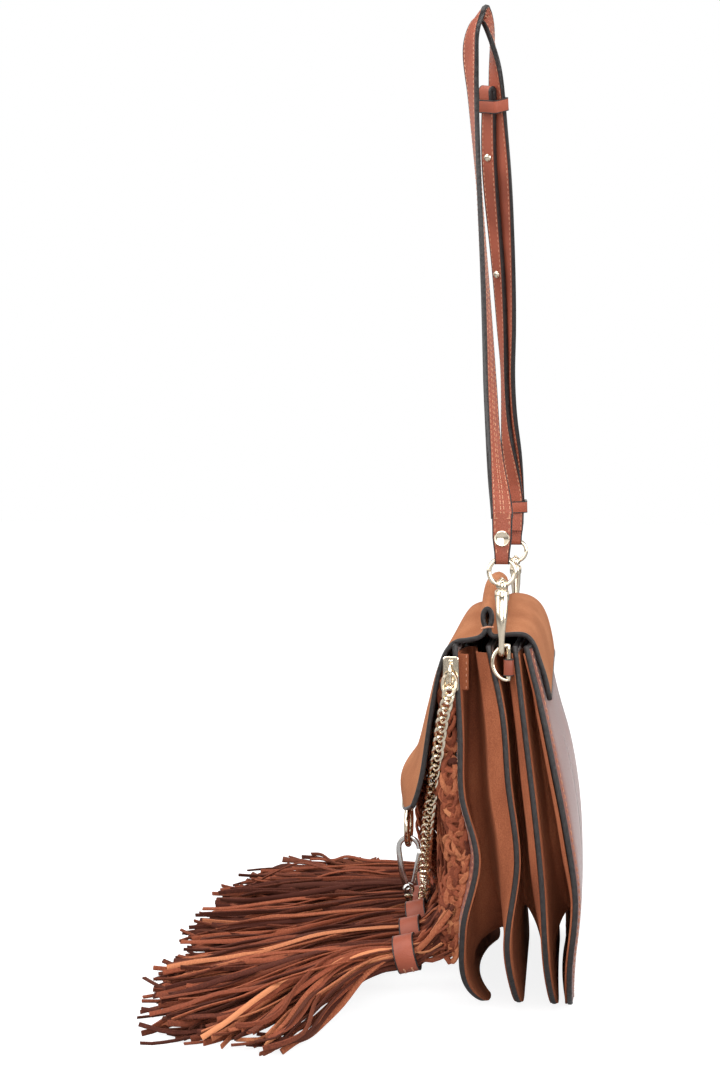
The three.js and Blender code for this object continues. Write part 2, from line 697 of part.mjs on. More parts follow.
// One end of the bag: tab, D-ring, snap hook, gate and the strap's eye; side is +1 or -1
function buildEnd(side, label) {
  const place = (x, y, z) => vec(side * x, y, z);
  const upright = vec(0, 0, 1);
  const bar = dRingWire / 2;
  const tabHalf = bar + runClearance + tabWall;
  const tabLow = place(endRim, dRingY - tabHalf, tabTop - tabHeight);
  const tabHigh = place(dRingX + tabHalf, dRingY + tabHalf + 1.5, tabTop);
  const lowCorner = tabLow.clone().min(tabHigh);
  const highCorner = tabLow.clone().max(tabHigh);
  const bore = cylinderBody(place(dRingX, dRingY, dRingZ), upright, bar + runClearance, dRingHeight * 2);
  addMesh(`d_ring_tab_${label}`, cutBody(boxBody(lowCorner, highCorner), bore), materials.strap);

  const bowSteps = 12;
  const dPath = Array.from({ length: bowSteps + 1 }, (_, step) => {
    const angle = (Math.PI * step) / bowSteps;
    const y = dRingY - dRingReach * Math.sin(angle);
    return place(dRingX, y, dRingZ + (dRingHeight / 2) * Math.cos(angle));
  });
  addMesh(`d_ring_${label}`, barBody(dPath, vec(1, 0, 0), bar, 8, true), materials.gold);

  const hookArm = hookWire / 2;
  const centreZ = bendZ + hookBend;
  const hook = [
    place(dRingX + hookSpine * 0.55, hookY, hookTopZ - hookHeadHeight + 1),
    place(dRingX + hookSpine, hookY, hookTopZ - hookHeadHeight - 8),
  ];
  const bendSteps = 10;
  for (let step = 0; step <= bendSteps; step += 1) {
    const angle = (Math.PI * step) / bendSteps;
    const x = dRingX + hookBend * Math.cos(angle);
    hook.push(place(x, hookY, centreZ - hookBend * Math.sin(angle)));
  }
  const tipTop = centreZ + hookTipRise;
  hook.push(place(dRingX - hookBend, hookY, tipTop));
  const headZ = hookTopZ - hookHeadHeight / 2;
  const head = cylinderBody(place(dRingX, hookY, headZ), upright, hookHeadRadius, hookHeadHeight);
  const stemLength = bossHeight + 2 * runClearance + 1;
  const stemZ = hookTopZ + stemLength / 2 - 0.5;
  const stem = cylinderBody(place(dRingX, hookY, stemZ), upright, stemRadius, stemLength, 12);
  const stemTopZ = hookTopZ + bossHeight + 2 * runClearance;
  const rivet = cylinderBody(place(dRingX, hookY, stemTopZ + 0.6), upright, stemHead, 1.2, 12);
  const hookBody = joinBodies(barBody(hook, vec(0, 1, 0), hookArm, 8), head, stem, rivet);
  addMesh(`hook_${label}`, hookBody, materials.gold);

  const gateArm = gateWire / 2;
  const gateTop = place(dRingX - hookHeadRadius + gateArm, hookY, hookTopZ - hookHeadHeight - gap);
  const gateEnd = place(dRingX - hookBend, hookY, tipTop + gap);
  addMesh(`hook_gate_${label}`, barBody([gateTop, gateEnd], vec(0, 1, 0), gateArm, 8), materials.gold);

  const ring = wireRing(place(dRingX, hookY, eyeZ), vec(0, 1, 0), eyeRadius, eyeWire, 24);
  const bossZ = hookTopZ + runClearance + bossHeight / 2;
  const boss = cylinderBody(place(dRingX, hookY, bossZ), upright, bossRadius, bossHeight);
  const shaftRadius = stemRadius + runClearance;
  const shaft = cylinderBody(place(dRingX, hookY, bossZ), upright, shaftRadius, bossHeight * 3, 12);
  const rivetRoom = cylinderBody(
    place(dRingX, hookY, stemTopZ + 1), upright, stemHead + runClearance, 2 + 2 * runClearance, 12,
  );
  addMesh(`eye_${label}`, cutBody(joinBodies(ring, boss), shaft, rivetRoom), materials.gold);
}

// Frame of a strip at a point of its curve: along, across (near Y, then turned) and outward
function stripFrame(curve, at, turn) {
  const along = curve.getTangent(at);
  const across = vec(0, 1, 0).addScaledVector(along, -along.y).normalize();
  across.applyAxisAngle(along, THREE.MathUtils.degToRad(turn));
  const outward = vec(0, 0, 0).crossVectors(across, along).normalize();
  return { point: curve.getPoint(at), along, across, outward };
}

// Flat strip of leather through a list of frames
function stripBody(frames, width, thickness) {
  const rings = frames.map(({ point, across, outward }) => {
    const corner = (a, b) => point.clone()
      .addScaledVector(across, (a * width) / 2)
      .addScaledVector(outward, (b * thickness) / 2);
    return [corner(-1, -1), corner(1, -1), corner(1, 1), corner(-1, 1)];
  });
  return ringBody(rings);
}

// Doubled end of a strap, with the slot that holds the eye's top wire
function strapEnd(side) {
  const wire = eyeWire / 2;
  const half = strapEndWidth / 2;
  const slotHalfX = wire + runClearance;
  const slotTop = strapEndZ + wire + runClearance;
  const slotBottom = eyeZ + Math.sqrt((eyeRadius - wire) ** 2 - half ** 2) - runClearance;
  const leather = strapThickness * 0.5;
  const x = side * dRingX;
  const slab = boxBody(
    vec(x - slotHalfX - leather, hookY - half, slotBottom - leather),
    vec(x + slotHalfX + leather, hookY + half, strapEndZ + strapEndLength),
  );
  const slot = boxBody(
    vec(x - slotHalfX, hookY - half * 2, slotBottom),
    vec(x + slotHalfX, hookY + half * 2, slotTop),
  );
  return cutBody(slab, slot);
}

// Loop of leather round a strip: a rectangular tube across the strip's frame
function keeperBody(frame, innerWidth, innerDepth) {
  const ring = (end, grow) => [[-1, -1], [1, -1], [1, 1], [-1, 1]].map(([a, b]) => {
    return frame.point.clone()
      .addScaledVector(frame.along, (end * keeperLength) / 2)
      .addScaledVector(frame.across, a * (innerWidth / 2 + grow))
      .addScaledVector(frame.outward, b * (innerDepth / 2 + grow));
  });
  return ringBody([ring(-1, 0), ring(-1, keeperWall), ring(1, keeperWall), ring(1, 0)], true);
}

function buildStrap() {
  const routePoint = ([shareX, offsetY, shareZ]) => {
    return vec(shareX * dRingX, hookY + offsetY, strapEndZ + strapLift + shareZ * strapRise);
  };
  const shareAt = (z) => (z - strapEndZ - strapLift) / strapRise;
  const strapPoints = [...nearLeg, archTop, ...farLeg].map(routePoint);
  const strap = new THREE.CatmullRomCurve3(strapPoints);
  const topAt = nearLeg.length / (strapPoints.length - 1);
  const strapSteps = 96;
  const strapFrames = Array.from({ length: strapSteps + 1 }, (_, step) => {
    const at = step / strapSteps;
    const share = shareAt(strap.getPoint(at).z);
    return stripFrame(strap, at, tableValue(strapTurn, at <= topAt ? share : 2 - share));
  });
  const strip = stripBody(strapFrames, strapWidth, strapThickness);
  addMesh('shoulder_strap', joinBodies(strip, strapEnd(1), strapEnd(-1)), materials.strap);

  // Place on the far leg at a share of the rise, found by halving
  const farFrame = (share) => {
    let above = topAt;
    let below = 1;
    for (let halving = 0; halving < 30; halving += 1) {
      const at = (above + below) / 2;
      if (shareAt(strap.getPoint(at).z) > share) above = at;
      else below = at;
    }
    return stripFrame(strap, above, tableValue(strapTurn, 2 - share));
  };

  // Extension: lies on the inner face of the far leg, from its free tip beside the doubled end
  const endDepth = eyeWire / 2 + runClearance + strapThickness * 0.5;
  const endShare = shareAt(strapEndZ + strapEndLength);
  const inner = (share) => {
    const frame = farFrame(share);
    const clearOfEnd = THREE.MathUtils.smoothstep(share, endShare, 2 * endShare);
    const side = THREE.MathUtils.lerp(endDepth, strapThickness / 2, clearOfEnd);
    frame.point.addScaledVector(frame.outward, -(side + layerGap + strapThickness / 2));
    frame.point.addScaledVector(frame.across, tableValue(extensionOffset, share));
    return frame;
  };
  const extensionSteps = 64;
  const extensionFrames = Array.from({ length: extensionSteps + 1 }, (_, step) => {
    return inner(THREE.MathUtils.lerp(extensionFoot, extensionTop, step / extensionSteps));
  });
  const extension = stripBody(extensionFrames, strapEndWidth, strapThickness);
  addMesh('strap_extension', extension, materials.strap);

  for (const [name, share] of [['upper_keeper', upperKeeperAt], ['lower_keeper', lowerKeeperAt]]) {
    const offset = tableValue(extensionOffset, share);
    const low = Math.min(offset - strapEndWidth / 2, -strapWidth / 2);
    const high = Math.max(offset + strapEndWidth / 2, strapWidth / 2);
    const frame = farFrame(share);
    const apart = frame.point.clone().sub(inner(share).point).dot(frame.outward);
    frame.point.addScaledVector(frame.outward, -apart / 2).addScaledVector(frame.across, (low + high) / 2);
    const depth = apart + strapThickness + keeperSlack;
    addMesh(name, keeperBody(frame, high - low + 4 * gap, depth), materials.strap);
  }
  const capLength = 1.6;
  for (const [name, share] of [['stud_upper', upperStudAt], ['stud_lower', lowerStudAt]]) {
    const frame = inner(share);
    frame.point.addScaledVector(frame.outward, -(strapThickness / 2 + gap + capLength / 2));
    addMesh(name, cylinderBody(frame.point, frame.outward, studRadius, capLength), materials.gold);
  }
  const capZ = strapEndZ + strapEndLength * 0.45;
  for (const [label, side] of [['right', 1], ['left', -1]]) {
    const centre = vec(side * (dRingX + endDepth + gap + capLength / 2), hookY, capZ);
    addMesh(`end_stud_${label}`, cylinderBody(centre, vec(1, 0, 0), capRadius, capLength), materials.gold);
  }
}

buildLeavesAndGussets();
buildCrochet();
buildTassels();
buildFlap();
buildChain(buildFlapRingAndClip());
buildEnd(1, 'right');
buildEnd(-1, 'left');
buildStrap();

export default bag;
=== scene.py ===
import json
import math

import bpy
import numpy as np
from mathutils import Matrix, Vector


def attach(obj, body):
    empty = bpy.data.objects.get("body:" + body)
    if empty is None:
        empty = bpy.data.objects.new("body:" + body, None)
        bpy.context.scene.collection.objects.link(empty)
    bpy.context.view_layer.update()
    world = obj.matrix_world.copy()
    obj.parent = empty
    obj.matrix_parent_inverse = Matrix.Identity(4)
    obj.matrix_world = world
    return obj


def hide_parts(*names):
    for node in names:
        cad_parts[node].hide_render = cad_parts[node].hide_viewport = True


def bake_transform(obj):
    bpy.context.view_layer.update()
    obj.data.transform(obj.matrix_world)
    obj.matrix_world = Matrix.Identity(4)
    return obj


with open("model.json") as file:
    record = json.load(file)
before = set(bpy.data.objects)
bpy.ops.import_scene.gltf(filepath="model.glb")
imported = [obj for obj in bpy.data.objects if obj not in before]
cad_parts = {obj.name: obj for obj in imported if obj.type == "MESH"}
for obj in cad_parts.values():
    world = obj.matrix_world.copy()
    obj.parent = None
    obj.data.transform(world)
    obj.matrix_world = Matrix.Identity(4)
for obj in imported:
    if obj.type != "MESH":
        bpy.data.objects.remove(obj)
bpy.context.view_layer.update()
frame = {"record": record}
rng = np.random.default_rng(11)
MM = 0.001
X_AXIS, Y_AXIS, Z_AXIS = np.eye(3)
BODY_OF = {node: body for body, nodes in frame["record"]["behaviour"]["bodies"].items() for node in nodes}

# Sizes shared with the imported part
BAG_HEIGHT = 222.0
BODY_HALF = 120.0
TOP_HALF = 112.0
CORNER = 60.0
LEAF_THICK = 2.4
CROCHET_THICK = 9.0
CROCHET_GAP = 0.5
CROCHET_HALF = 104.0
CROCHET_LOW = 42.0
CROCHET_HIGH = 204.0
FLAP_HALF = 104.0
FLAP_THICK = 2.2
RING_X = 115.7
RING_Y = -6.3
RING_Z = 213.0
HOOK_Y = -10.3
HOOK_TOP = 255.0
HOOK_BEND_Z = 217.7
EYE_Z = 265.3
EYE_RADIUS = 7.5
STRAP_RISE = 337.0
BAND_Y = -67.0
BAND_Z = 35.0
BAND_HALF_WIDTH = 10.9
BAND_HALF_HEIGHT = 10.4
BAND_HALF_LENGTH = 6.0
CLIP_Y = -75.5
FLAP_RING_Z = 91.27
FLAP_RING_RADIUS = 13.0
FLAP_RING_WIRE = 4.0
BACK_ROLL = 2.4
BACK_ROLL_REACH = 3.5

# Near-edge and middle lines of each leaf: share of the height, Y
LEAF_LINES = {
    "front_panel": {
        "edge": [(0, -19.5), (0.08, -29.5), (0.25, -32), (0.45, -24), (0.61, -33), (0.76, -34), (1, -37.5)],
        "middle": [(0, -30.5), (0.09, -35), (0.27, -43.5), (0.5, -45.5), (0.76, -41.5), (1, -35.5)],
    },
    "front_divider": {
        "edge": [(0, 0), (0.07, -2.5), (0.2, -6.4), (0.45, -1), (0.65, -6.5), (0.81, -9.5), (1, -18.2)],
        "middle": [(0, 0), (0.36, -5.5), (0.68, -9.5), (1, -17.5)],
    },
    "rear_divider": {
        "edge": [(0, 21.1), (0.15, 16.6), (0.39, 13.1), (0.57, 8.9), (0.74, 4.2), (1, -3)],
        "middle": [(0, 20.5), (0.36, 14.5), (0.68, 8.5), (1, -0.5)],
    },
    "back_panel": {
        "edge": [(0, 29), (0.15, 28.9), (0.35, 32), (0.51, 27), (0.68, 19.5), (0.81, 13.5), (1, 3)],
        "middle": [(0, 29.5), (0.36, 36.5), (0.55, 33.5), (0.67, 28.5), (0.78, 20.5), (0.9, 14.5), (1, 6.5)],
    },
}

# Flap profile from its sewn rear hem over the ridge to the front hem: (Y, Z) at a side and at the middle
FLAP_LINES = [
    ((17.0, 191.0), (17.6, 204.0)),
    ((14.4, 203.0), (16.8, 211.0)),
    ((10.8, 214.0), (15.2, 219.5)),
    ((8.2, 221.5), (12.6, 228.0)),
    ((5.0, 226.2), (8.2, 235.5)),
    ((0.8, 228.2), (1.2, 240.4)),
    ((-7.5, 227.9), (-7.5, 241.9)),
    ((-15.5, 226.9), (-14.5, 239.9)),
    ((-18.2, 230.6), (-17.0, 242.4)),
    ((-16.8, 235.9), (-13.5, 247.4)),
    ((-17.0, 240.6), (-14.0, 252.9)),
    ((-19.2, 243.0), (-18.5, 255.9)),
    ((-21.4, 240.6), (-23.0, 252.9)),
    ((-21.6, 235.9), (-23.8, 247.4)),
    ((-20.2, 230.6), (-20.8, 241.4)),
    ((-23.5, 226.4), (-25.0, 235.9)),
    ((-30.0, 224.6), (-31.0, 235.2)),
    ((-37.0, 223.4), (-36.5, 231.5)),
    ((-42.0, 219.0), (-41.5, 222.0)),
    ((-45.4, 211.9), (-46.5, 212.5)),
    ((-48.6, 199.4), (-53.5, 198.4)),
    ((-52.5, 176.9), (-59.5, 176.4)),
    ((-56.5, 148.9), (-67.5, 146.4)),
    ((-59.5, 134.9), (-78.0, 128.4)),
    ((-62.5, 125.9), (-75.5, 109.4)),
]


def linear(red, green, blue):
    """Linear colour of an sRGB colour given from 0 to 255."""
    values = [channel / 255 for channel in (red, green, blue)]
    return tuple(v / 12.92 if v <= 0.04045 else ((v + 0.055) / 1.055) ** 2.4 for v in values) + (1.0,)


class Nodes:
    """Adds nodes to a node tree. An input's value may be another node's output, which is then linked."""

    def __init__(self, tree):
        self.tree = tree

    def fill(self, node, inputs):
        for name, value in inputs.items():
            if isinstance(value, bpy.types.NodeSocket):
                self.tree.links.new(value, node.inputs[name])
            else:
                node.inputs[name].default_value = value

    def add(self, kind, inputs=None, **settings):
        node = self.tree.nodes.new("ShaderNode" + kind)
        for name, value in settings.items():
            setattr(node, name, value)
        self.fill(node, inputs or {})
        return node.outputs

    def mix(self, data_type, factor, a, b):
        return self.add("Mix", {"Factor": factor, "A": a, "B": b}, data_type=data_type)["Result"]

    def math(self, operation, *values):
        return self.add("Math", dict(enumerate(values)), operation=operation)["Value"]

    def spread(self, value, low, high):
        """A value from 0 to 1 spread over another range."""
        return self.add("MapRange", {"Value": value, "To Min": low, "To Max": high})["Result"]

    def noise(self, scale, detail, stretch=None):
        """Noise over the object's own coordinates, in cells per metre."""
        place = self.add("TexCoord")["Object"]
        if stretch:
            place = self.add("Mapping", {"Vector": place, "Scale": stretch})["Vector"]
        return self.add("TexNoise", {"Vector": place, "Scale": scale, "Detail": detail})["Fac"]

    def ramp(self, value, stops):
        colour_out = self.add("ValToRGB", {"Fac": value})["Color"]
        elements = colour_out.node.color_ramp.elements
        while len(elements) < len(stops):
            elements.new(0.5)
        for element, (position, colour) in zip(elements, stops):
            element.position = position
            element.color = colour
        return colour_out

    def bump(self, height, strength, distance, before=None):
        inputs = {"Height": height, "Strength": strength, "Distance": distance}
        if before:
            inputs["Normal"] = before
        return self.add("Bump", inputs)["Normal"]


# Camera and light

def aim(thing, place, direction):
    """Puts a camera or lamp in the scene, looking along a direction."""
    bpy.context.scene.collection.objects.link(thing)
    thing.location = place
    thing.rotation_euler = Vector(direction).to_track_quat("-Z", "Y").to_euler()


def make_camera():
    data = bpy.data.cameras.new("camera")
    data.lens = 52.4
    data.sensor_width = 36
    data.clip_start = 0.02
    camera = bpy.data.objects.new("camera", data)
    aim(camera, (1.020, 0.0275, 0.325), (-1.0, -0.1327, -0.0470))
    bpy.context.scene.camera = camera


def make_area(name, place, target, size, power):
    data = bpy.data.lights.new(name, "AREA")
    data.shape = "RECTANGLE"
    data.size, data.size_y = size
    data.energy = power
    aim(bpy.data.objects.new(name, data), place, Vector(target) - Vector(place))


def make_world():
    """White for the camera, softer for the object, with darker bands for the metal to reflect."""
    world = bpy.data.worlds.new("studio")
    bpy.context.scene.world = world
    world.use_nodes = True
    nodes = Nodes(world.node_tree)
    path = nodes.add("LightPath")
    up = nodes.add("SeparateXYZ", {"Vector": nodes.add("TexCoord")["Generated"]})["Z"]
    height = nodes.add("MapRange", {"Value": up, "From Min": -1})["Result"]
    bands = [(0.3, 0.2), (0.46, 0.06), (0.53, 1.0), (0.68, 1.0), (0.76, 0.16), (0.86, 0.2), (0.93, 1.0)]
    reflected = nodes.ramp(height, [(at, (level, 0.97 * level, 0.94 * level, 1)) for at, level in bands])
    lighting = nodes.mix("RGBA", path["Is Glossy Ray"], (0.72, 0.72, 0.74, 1), reflected)
    seen = nodes.mix("RGBA", path["Is Camera Ray"], lighting, (1, 1, 1, 1))
    nodes.fill(world.node_tree.nodes["Background"], {"Color": seen})


make_camera()
make_world()
make_area("top", (0.25, -0.25, 1.5), (0, -0.05, 0.1), (1.4, 1.4), 15)
make_area("left", (0.7, -1.2, 0.9), (0, -0.05, 0.15), (0.9, 1.2), 12)
make_area("right", (0.8, 1.2, 0.7), (0, 0.0, 0.15), (0.7, 1.2), 13)
make_area("fill", (1.3, 0.1, 0.5), (0, 0.0, 0.12), (0.7, 0.7), 5)


# Materials

def new_material(name):
    material = bpy.data.materials.new(name)
    material.use_nodes = True
    tree = material.node_tree
    return material, Nodes(tree), tree.nodes["Principled BSDF"]


def suede(name, dark, mid, light, streak):
    """Napped suede: brushed light and dark patches over a fine fibre, with a soft sheen."""
    material, nodes, shader = new_material(name)
    patches = nodes.noise(26, 4, streak)
    fibre = nodes.noise(1500, 5)
    tone = nodes.mix("FLOAT", 0.42, patches, fibre)
    nodes.fill(shader, {
        "Base Color": nodes.ramp(tone, [(0.28, dark), (0.5, mid), (0.74, light)]),
        "Roughness": 0.95,
        "Specular IOR Level": 0.15,
        "Sheen Weight": 0.35,
        "Sheen Roughness": 0.45,
        "Sheen Tint": light,
        "Normal": nodes.bump(fibre, 0.5, 0.0005, nodes.bump(patches, 0.25, 0.002)),
    })
    return material


def lace_suede(name, dark, mid, light):
    """Cut suede lace: each lace takes its own tone from the mesh, with a fine fibre over it. On fringe laces
    that tone also carries painted shade and painted light.
    """
    material, nodes, shader = new_material(name)
    lace_tone_and_painted_light = nodes.add("Attribute", attribute_name="tone")["Fac"]
    fibre = nodes.noise(900, 4)
    tone = nodes.math("SUBTRACT", nodes.math("MULTIPLY_ADD", fibre, 0.5, lace_tone_and_painted_light), 0.25)
    nodes.fill(shader, {
        "Base Color": nodes.ramp(tone, [(0.05, dark), (0.5, mid), (0.95, light)]),
        "Roughness": 0.9,
        "Specular IOR Level": 0.2,
        "Sheen Weight": 0.25,
        "Sheen Tint": light,
        "Normal": nodes.bump(fibre, 0.5, 0.0006),
    })
    return material


def leather(name, dark, light, roughness, shine, sheen=0.0, stretch=None, grain=620):
    """Grained leather: fine cells, a slow change of tone, and a gloss that wears unevenly."""
    material, nodes, shader = new_material(name)
    slow = nodes.noise(28, 2, stretch)
    place = nodes.add("TexCoord")["Object"]
    cells = nodes.add("TexVoronoi", {"Vector": place, "Scale": grain}, feature="DISTANCE_TO_EDGE")
    nodes.fill(shader, {
        "Base Color": nodes.ramp(slow, [(0.3, dark), (0.7, light)]),
        "Roughness": nodes.spread(slow, roughness - 0.08, roughness + 0.1),
        "Specular IOR Level": shine,
        "Sheen Weight": sheen,
        "Sheen Roughness": 0.25,
        "Normal": nodes.bump(cells["Distance"], 0.35, 0.0006),
    })
    return material


def satin(name, dark, light):
    """Thick satin paint or waxed thread with small unevenness."""
    material, nodes, shader = new_material(name)
    rough = nodes.noise(420, 4)
    nodes.fill(shader, {
        "Base Color": nodes.ramp(rough, [(0.3, dark), (0.7, light)]),
        "Roughness": 0.28,
        "Specular IOR Level": 0.32,
        "Normal": nodes.bump(rough, 0.4, 0.0008),
    })
    return material


def metal(name, colour, roughness):
    """Polished plated metal with fine wear in its gloss."""
    material, nodes, shader = new_material(name)
    wear = nodes.noise(260, 5)
    dull = tuple(0.86 * channel for channel in colour[:3]) + (1,)
    nodes.fill(shader, {
        "Base Color": nodes.ramp(wear, [(0.3, dull), (0.65, colour)]),
        "Roughness": nodes.spread(wear, roughness * 0.6, roughness * 1.5),
        "Metallic": 1,
        "Normal": nodes.bump(wear, 0.06, 0.0003),
    })
    return material


FLAP_SUEDE = suede("flap_suede", linear(116, 68, 43), linear(154, 98, 66), linear(187, 130, 93),
                   streak=(1, 1.6, 0.5))
GUSSET_SUEDE = suede("gusset_suede", linear(97, 50, 34), linear(133, 74, 49), linear(165, 101, 69),
                     streak=(2, 2, 0.6))
LACE = lace_suede("lace_suede", linear(72, 34, 25), linear(138, 72, 49), linear(195, 126, 87))
PANEL = leather("panel_leather", linear(116, 61, 48), linear(135, 73, 58), roughness=0.28, shine=0.7,
                sheen=0.48, stretch=(1, 1, 0.1))
STRAP = leather("strap_leather", linear(128, 64, 46), linear(160, 84, 62), roughness=0.42, shine=0.3,
                grain=700)
EDGE = satin("edge_paint", linear(34, 31, 31), linear(50, 46, 45))
THREAD = satin("thread", linear(176, 120, 92), linear(206, 152, 122))
GOLD = metal("gold_metal", linear(243, 228, 203), 0.12)
SILVER = metal("silver_metal", linear(214, 212, 208), 0.14)


# Curves and meshes

def travelled(path):
    """Length along a path up to each of its points."""
    steps = np.linalg.norm(np.diff(path, axis=0), axis=1)
    return np.concatenate([[0], np.cumsum(steps)])


def resample(points, count, closed=False):
    """Points spaced evenly by length along a run of points."""
    whole = np.vstack([points, points[:1]]) if closed else points
    way = travelled(whole[:, :3])
    at = np.linspace(0, way[-1], count, endpoint=not closed)
    return np.column_stack([np.interp(at, way, values) for values in whole.T])


def dense_curve(points):
    """Smooth curve through some points, with 16 steps in each span."""
    points = np.asarray(points, float)
    last = len(points) - 1
    share = np.linspace(0, 1, 16, endpoint=False)[:, None]
    runs = []
    for index in range(last):
        a, b, c, d = points[[max(index - 1, 0), index, index + 1, min(index + 2, last)]]
        cubic = (2 * b + (c - a) * share + (2 * a - 5 * b + 4 * c - d) * share ** 2
                 + (3 * b - a - 3 * c + d) * share ** 3)
        runs.append(cubic / 2)
    return np.vstack(runs + [points[-1:]])


def spline(points, count):
    """Evenly spaced points on a smooth curve through some points."""
    return resample(dense_curve(points), count)


def line(x, y, z):
    """Points from three coordinates, any of which may be one number for all."""
    return np.column_stack(np.broadcast_arrays(x, y, z))


def unit(vectors):
    return vectors / np.maximum(np.linalg.norm(vectors, axis=-1, keepdims=True), 1e-9)


def tangents(path, closed=False):
    if closed:
        return unit(np.roll(path, -1, axis=0) - np.roll(path, 1, axis=0))
    return unit(np.gradient(path, axis=0))


def square_to(direction, along):
    """A direction, or one for each point, made square to the tangents."""
    direction = np.broadcast_to(np.asarray(direction, float), along.shape)
    return unit(direction - along * np.sum(direction * along, axis=1, keepdims=True))


def frames(path, normal, count, closed=False):
    """Evenly spaced places on a path, with its run and a normal square to it at each."""
    places = resample(np.column_stack([path, np.broadcast_to(normal, path.shape)]), count, closed)
    run = tangents(places[:, :3], closed)
    return places[:, :3], run, square_to(places[:, 3:], run)


def grid_faces(rows, columns, wrap_rows=False, wrap_columns=False):
    """Quads between the rows and columns of a grid of points."""
    row = np.arange(rows if wrap_rows else rows - 1)[:, None]
    column = np.arange(columns if wrap_columns else columns - 1)[None, :]
    next_row = (row + 1) % rows
    next_column = (column + 1) % columns
    quads = np.stack([row * columns + column, next_row * columns + column,
                      next_row * columns + next_column, row * columns + next_column], axis=-1)
    return quads.reshape(-1, 4).tolist()


def tube_faces(count, sides, closed=False):
    """Faces round a row of rings, with a cap at each end unless the row is closed."""
    faces = grid_faces(count, sides, closed, True)
    if not closed:
        faces.append(list(range(sides))[::-1])
        faces.append(list(range((count - 1) * sides, count * sides)))
    return faces


def sweep(path, section, side, closed=False, scale=1.0, scale_normal=None):
    """Section points (along side, along normal) carried along a path; returns points and faces."""
    along = tangents(path, closed)
    across = square_to(side, along)
    normal = np.cross(along, across)
    section = np.asarray(section, float)
    wide = np.broadcast_to(scale, len(path))[:, None]
    deep = wide if scale_normal is None else np.broadcast_to(scale_normal, len(path))[:, None]
    rings = (path[:, None, :]
             + (section[None, :, 0] * wide)[..., None] * across[:, None, :]
             + (section[None, :, 1] * deep)[..., None] * normal[:, None, :])
    return rings.reshape(-1, 3), tube_faces(len(path), len(section), closed)


def rounded(half_width, half_height, radius, steps=3):
    """Rounded rectangle of section points."""
    points = []
    for sign_x, sign_y, turn in ((1, 1, 0), (-1, 1, 90), (-1, -1, 180), (1, -1, 270)):
        for angle in np.radians(np.linspace(turn, turn + 90, steps)):
            points.append((sign_x * (half_width - radius) + radius * math.cos(angle),
                           sign_y * (half_height - radius) + radius * math.sin(angle)))
    return np.array(points)


def circle(radius, sides, flat=1.0):
    angles = np.linspace(0, 2 * np.pi, sides, endpoint=False)
    return np.column_stack([radius * np.cos(angles), flat * radius * np.sin(angles)])


class Piece:
    """Collects points and faces with their materials, then makes one object of them."""

    def __init__(self, name):
        self.name = name
        self.points = []
        self.faces = []
        self.surfaces = []
        self.tones = []
        self.count = 0

    def add(self, body, surface=0, tone=0.5):
        """Adds a body, given as its points and faces, with the number of its material."""
        points, faces = body
        self.points.append(points)
        self.faces.extend([[self.count + corner for corner in face] for face in faces])
        self.surfaces.extend([surface] * len(faces))
        self.tones.append(np.full(len(points), tone))
        self.count += len(points)

    def make(self, materials, smooth_angle, nodes):
        """The piece's object, with its materials in order, which replaces some nodes."""
        mesh = bpy.data.meshes.new(self.name)
        points = np.vstack(self.points) * MM
        mesh.from_pydata(points.tolist(), [], self.faces)
        for material in materials:
            mesh.materials.append(material)
        mesh.polygons.foreach_set("material_index", self.surfaces)
        tone = mesh.attributes.new("tone", "FLOAT", "POINT")
        tone.data.foreach_set("value", np.concatenate(self.tones))
        mesh.shade_smooth()
        mesh.set_sharp_from_angle(angle=math.radians(smooth_angle))
        mesh.validate()
        thing = bpy.data.objects.new(self.name, mesh)
        bpy.context.scene.collection.objects.link(thing)
        if nodes:
            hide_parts(*nodes)
        return thing

    def ride(self, materials, *nodes, smooth_angle=40):
        """Makes the object and carries it on its nodes' body, or on the bag if it has no node."""
        thing = self.make(materials, smooth_angle, nodes)
        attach(thing, BODY_OF[nodes[0]] if nodes else "bag")
        return thing


# Leaves and gussets

def table_value(table, at):
    """Smooth value of a (position, value) table at one or more positions."""
    place, value = np.array(table, float).T
    slope = np.gradient(value, place)
    at = np.clip(np.asarray(at, float), place[0], place[-1])
    row = np.clip(np.searchsorted(place, at) - 1, 0, len(place) - 2)
    span = place[row + 1] - place[row]
    share = (at - place[row]) / span
    return ((2 * share ** 3 - 3 * share ** 2 + 1) * value[row]
            + (share ** 3 - 2 * share ** 2 + share) * span * slope[row]
            + (3 * share ** 2 - 2 * share ** 3) * value[row + 1]
            + (share ** 3 - share ** 2) * span * slope[row + 1])


def half_width(z):
    """Half the leaves' width at a height."""
    z = np.asarray(z, float)
    corner = BODY_HALF - CORNER + np.sqrt(np.maximum(CORNER ** 2 - (CORNER - z) ** 2, 0))
    side = BODY_HALF + (TOP_HALF - BODY_HALF) * (z - CORNER) / (BAG_HEIGHT - CORNER)
    return np.where(z < CORNER, corner, side)


def leaf_y(leaf, x, z):
    """Y of a leaf's middle surface."""
    share = np.asarray(z, float) / BAG_HEIGHT
    edge = table_value(LEAF_LINES[leaf]["edge"], share)
    middle = table_value(LEAF_LINES[leaf]["middle"], share)
    across = np.minimum(np.abs(x) / np.maximum(half_width(z), 1), 1)
    roll = BACK_ROLL if leaf == "back_panel" else 0.0
    inset = np.maximum(np.minimum(half_width(z) - np.abs(x), z), 0)
    return edge + (middle - edge - roll) * (1 - across ** 2) + roll * (1 - np.exp(-inset / BACK_ROLL_REACH))


def panel_face(x, z):
    """Y of the front panel's front face."""
    return leaf_y("front_panel", x, z) - LEAF_THICK / 2


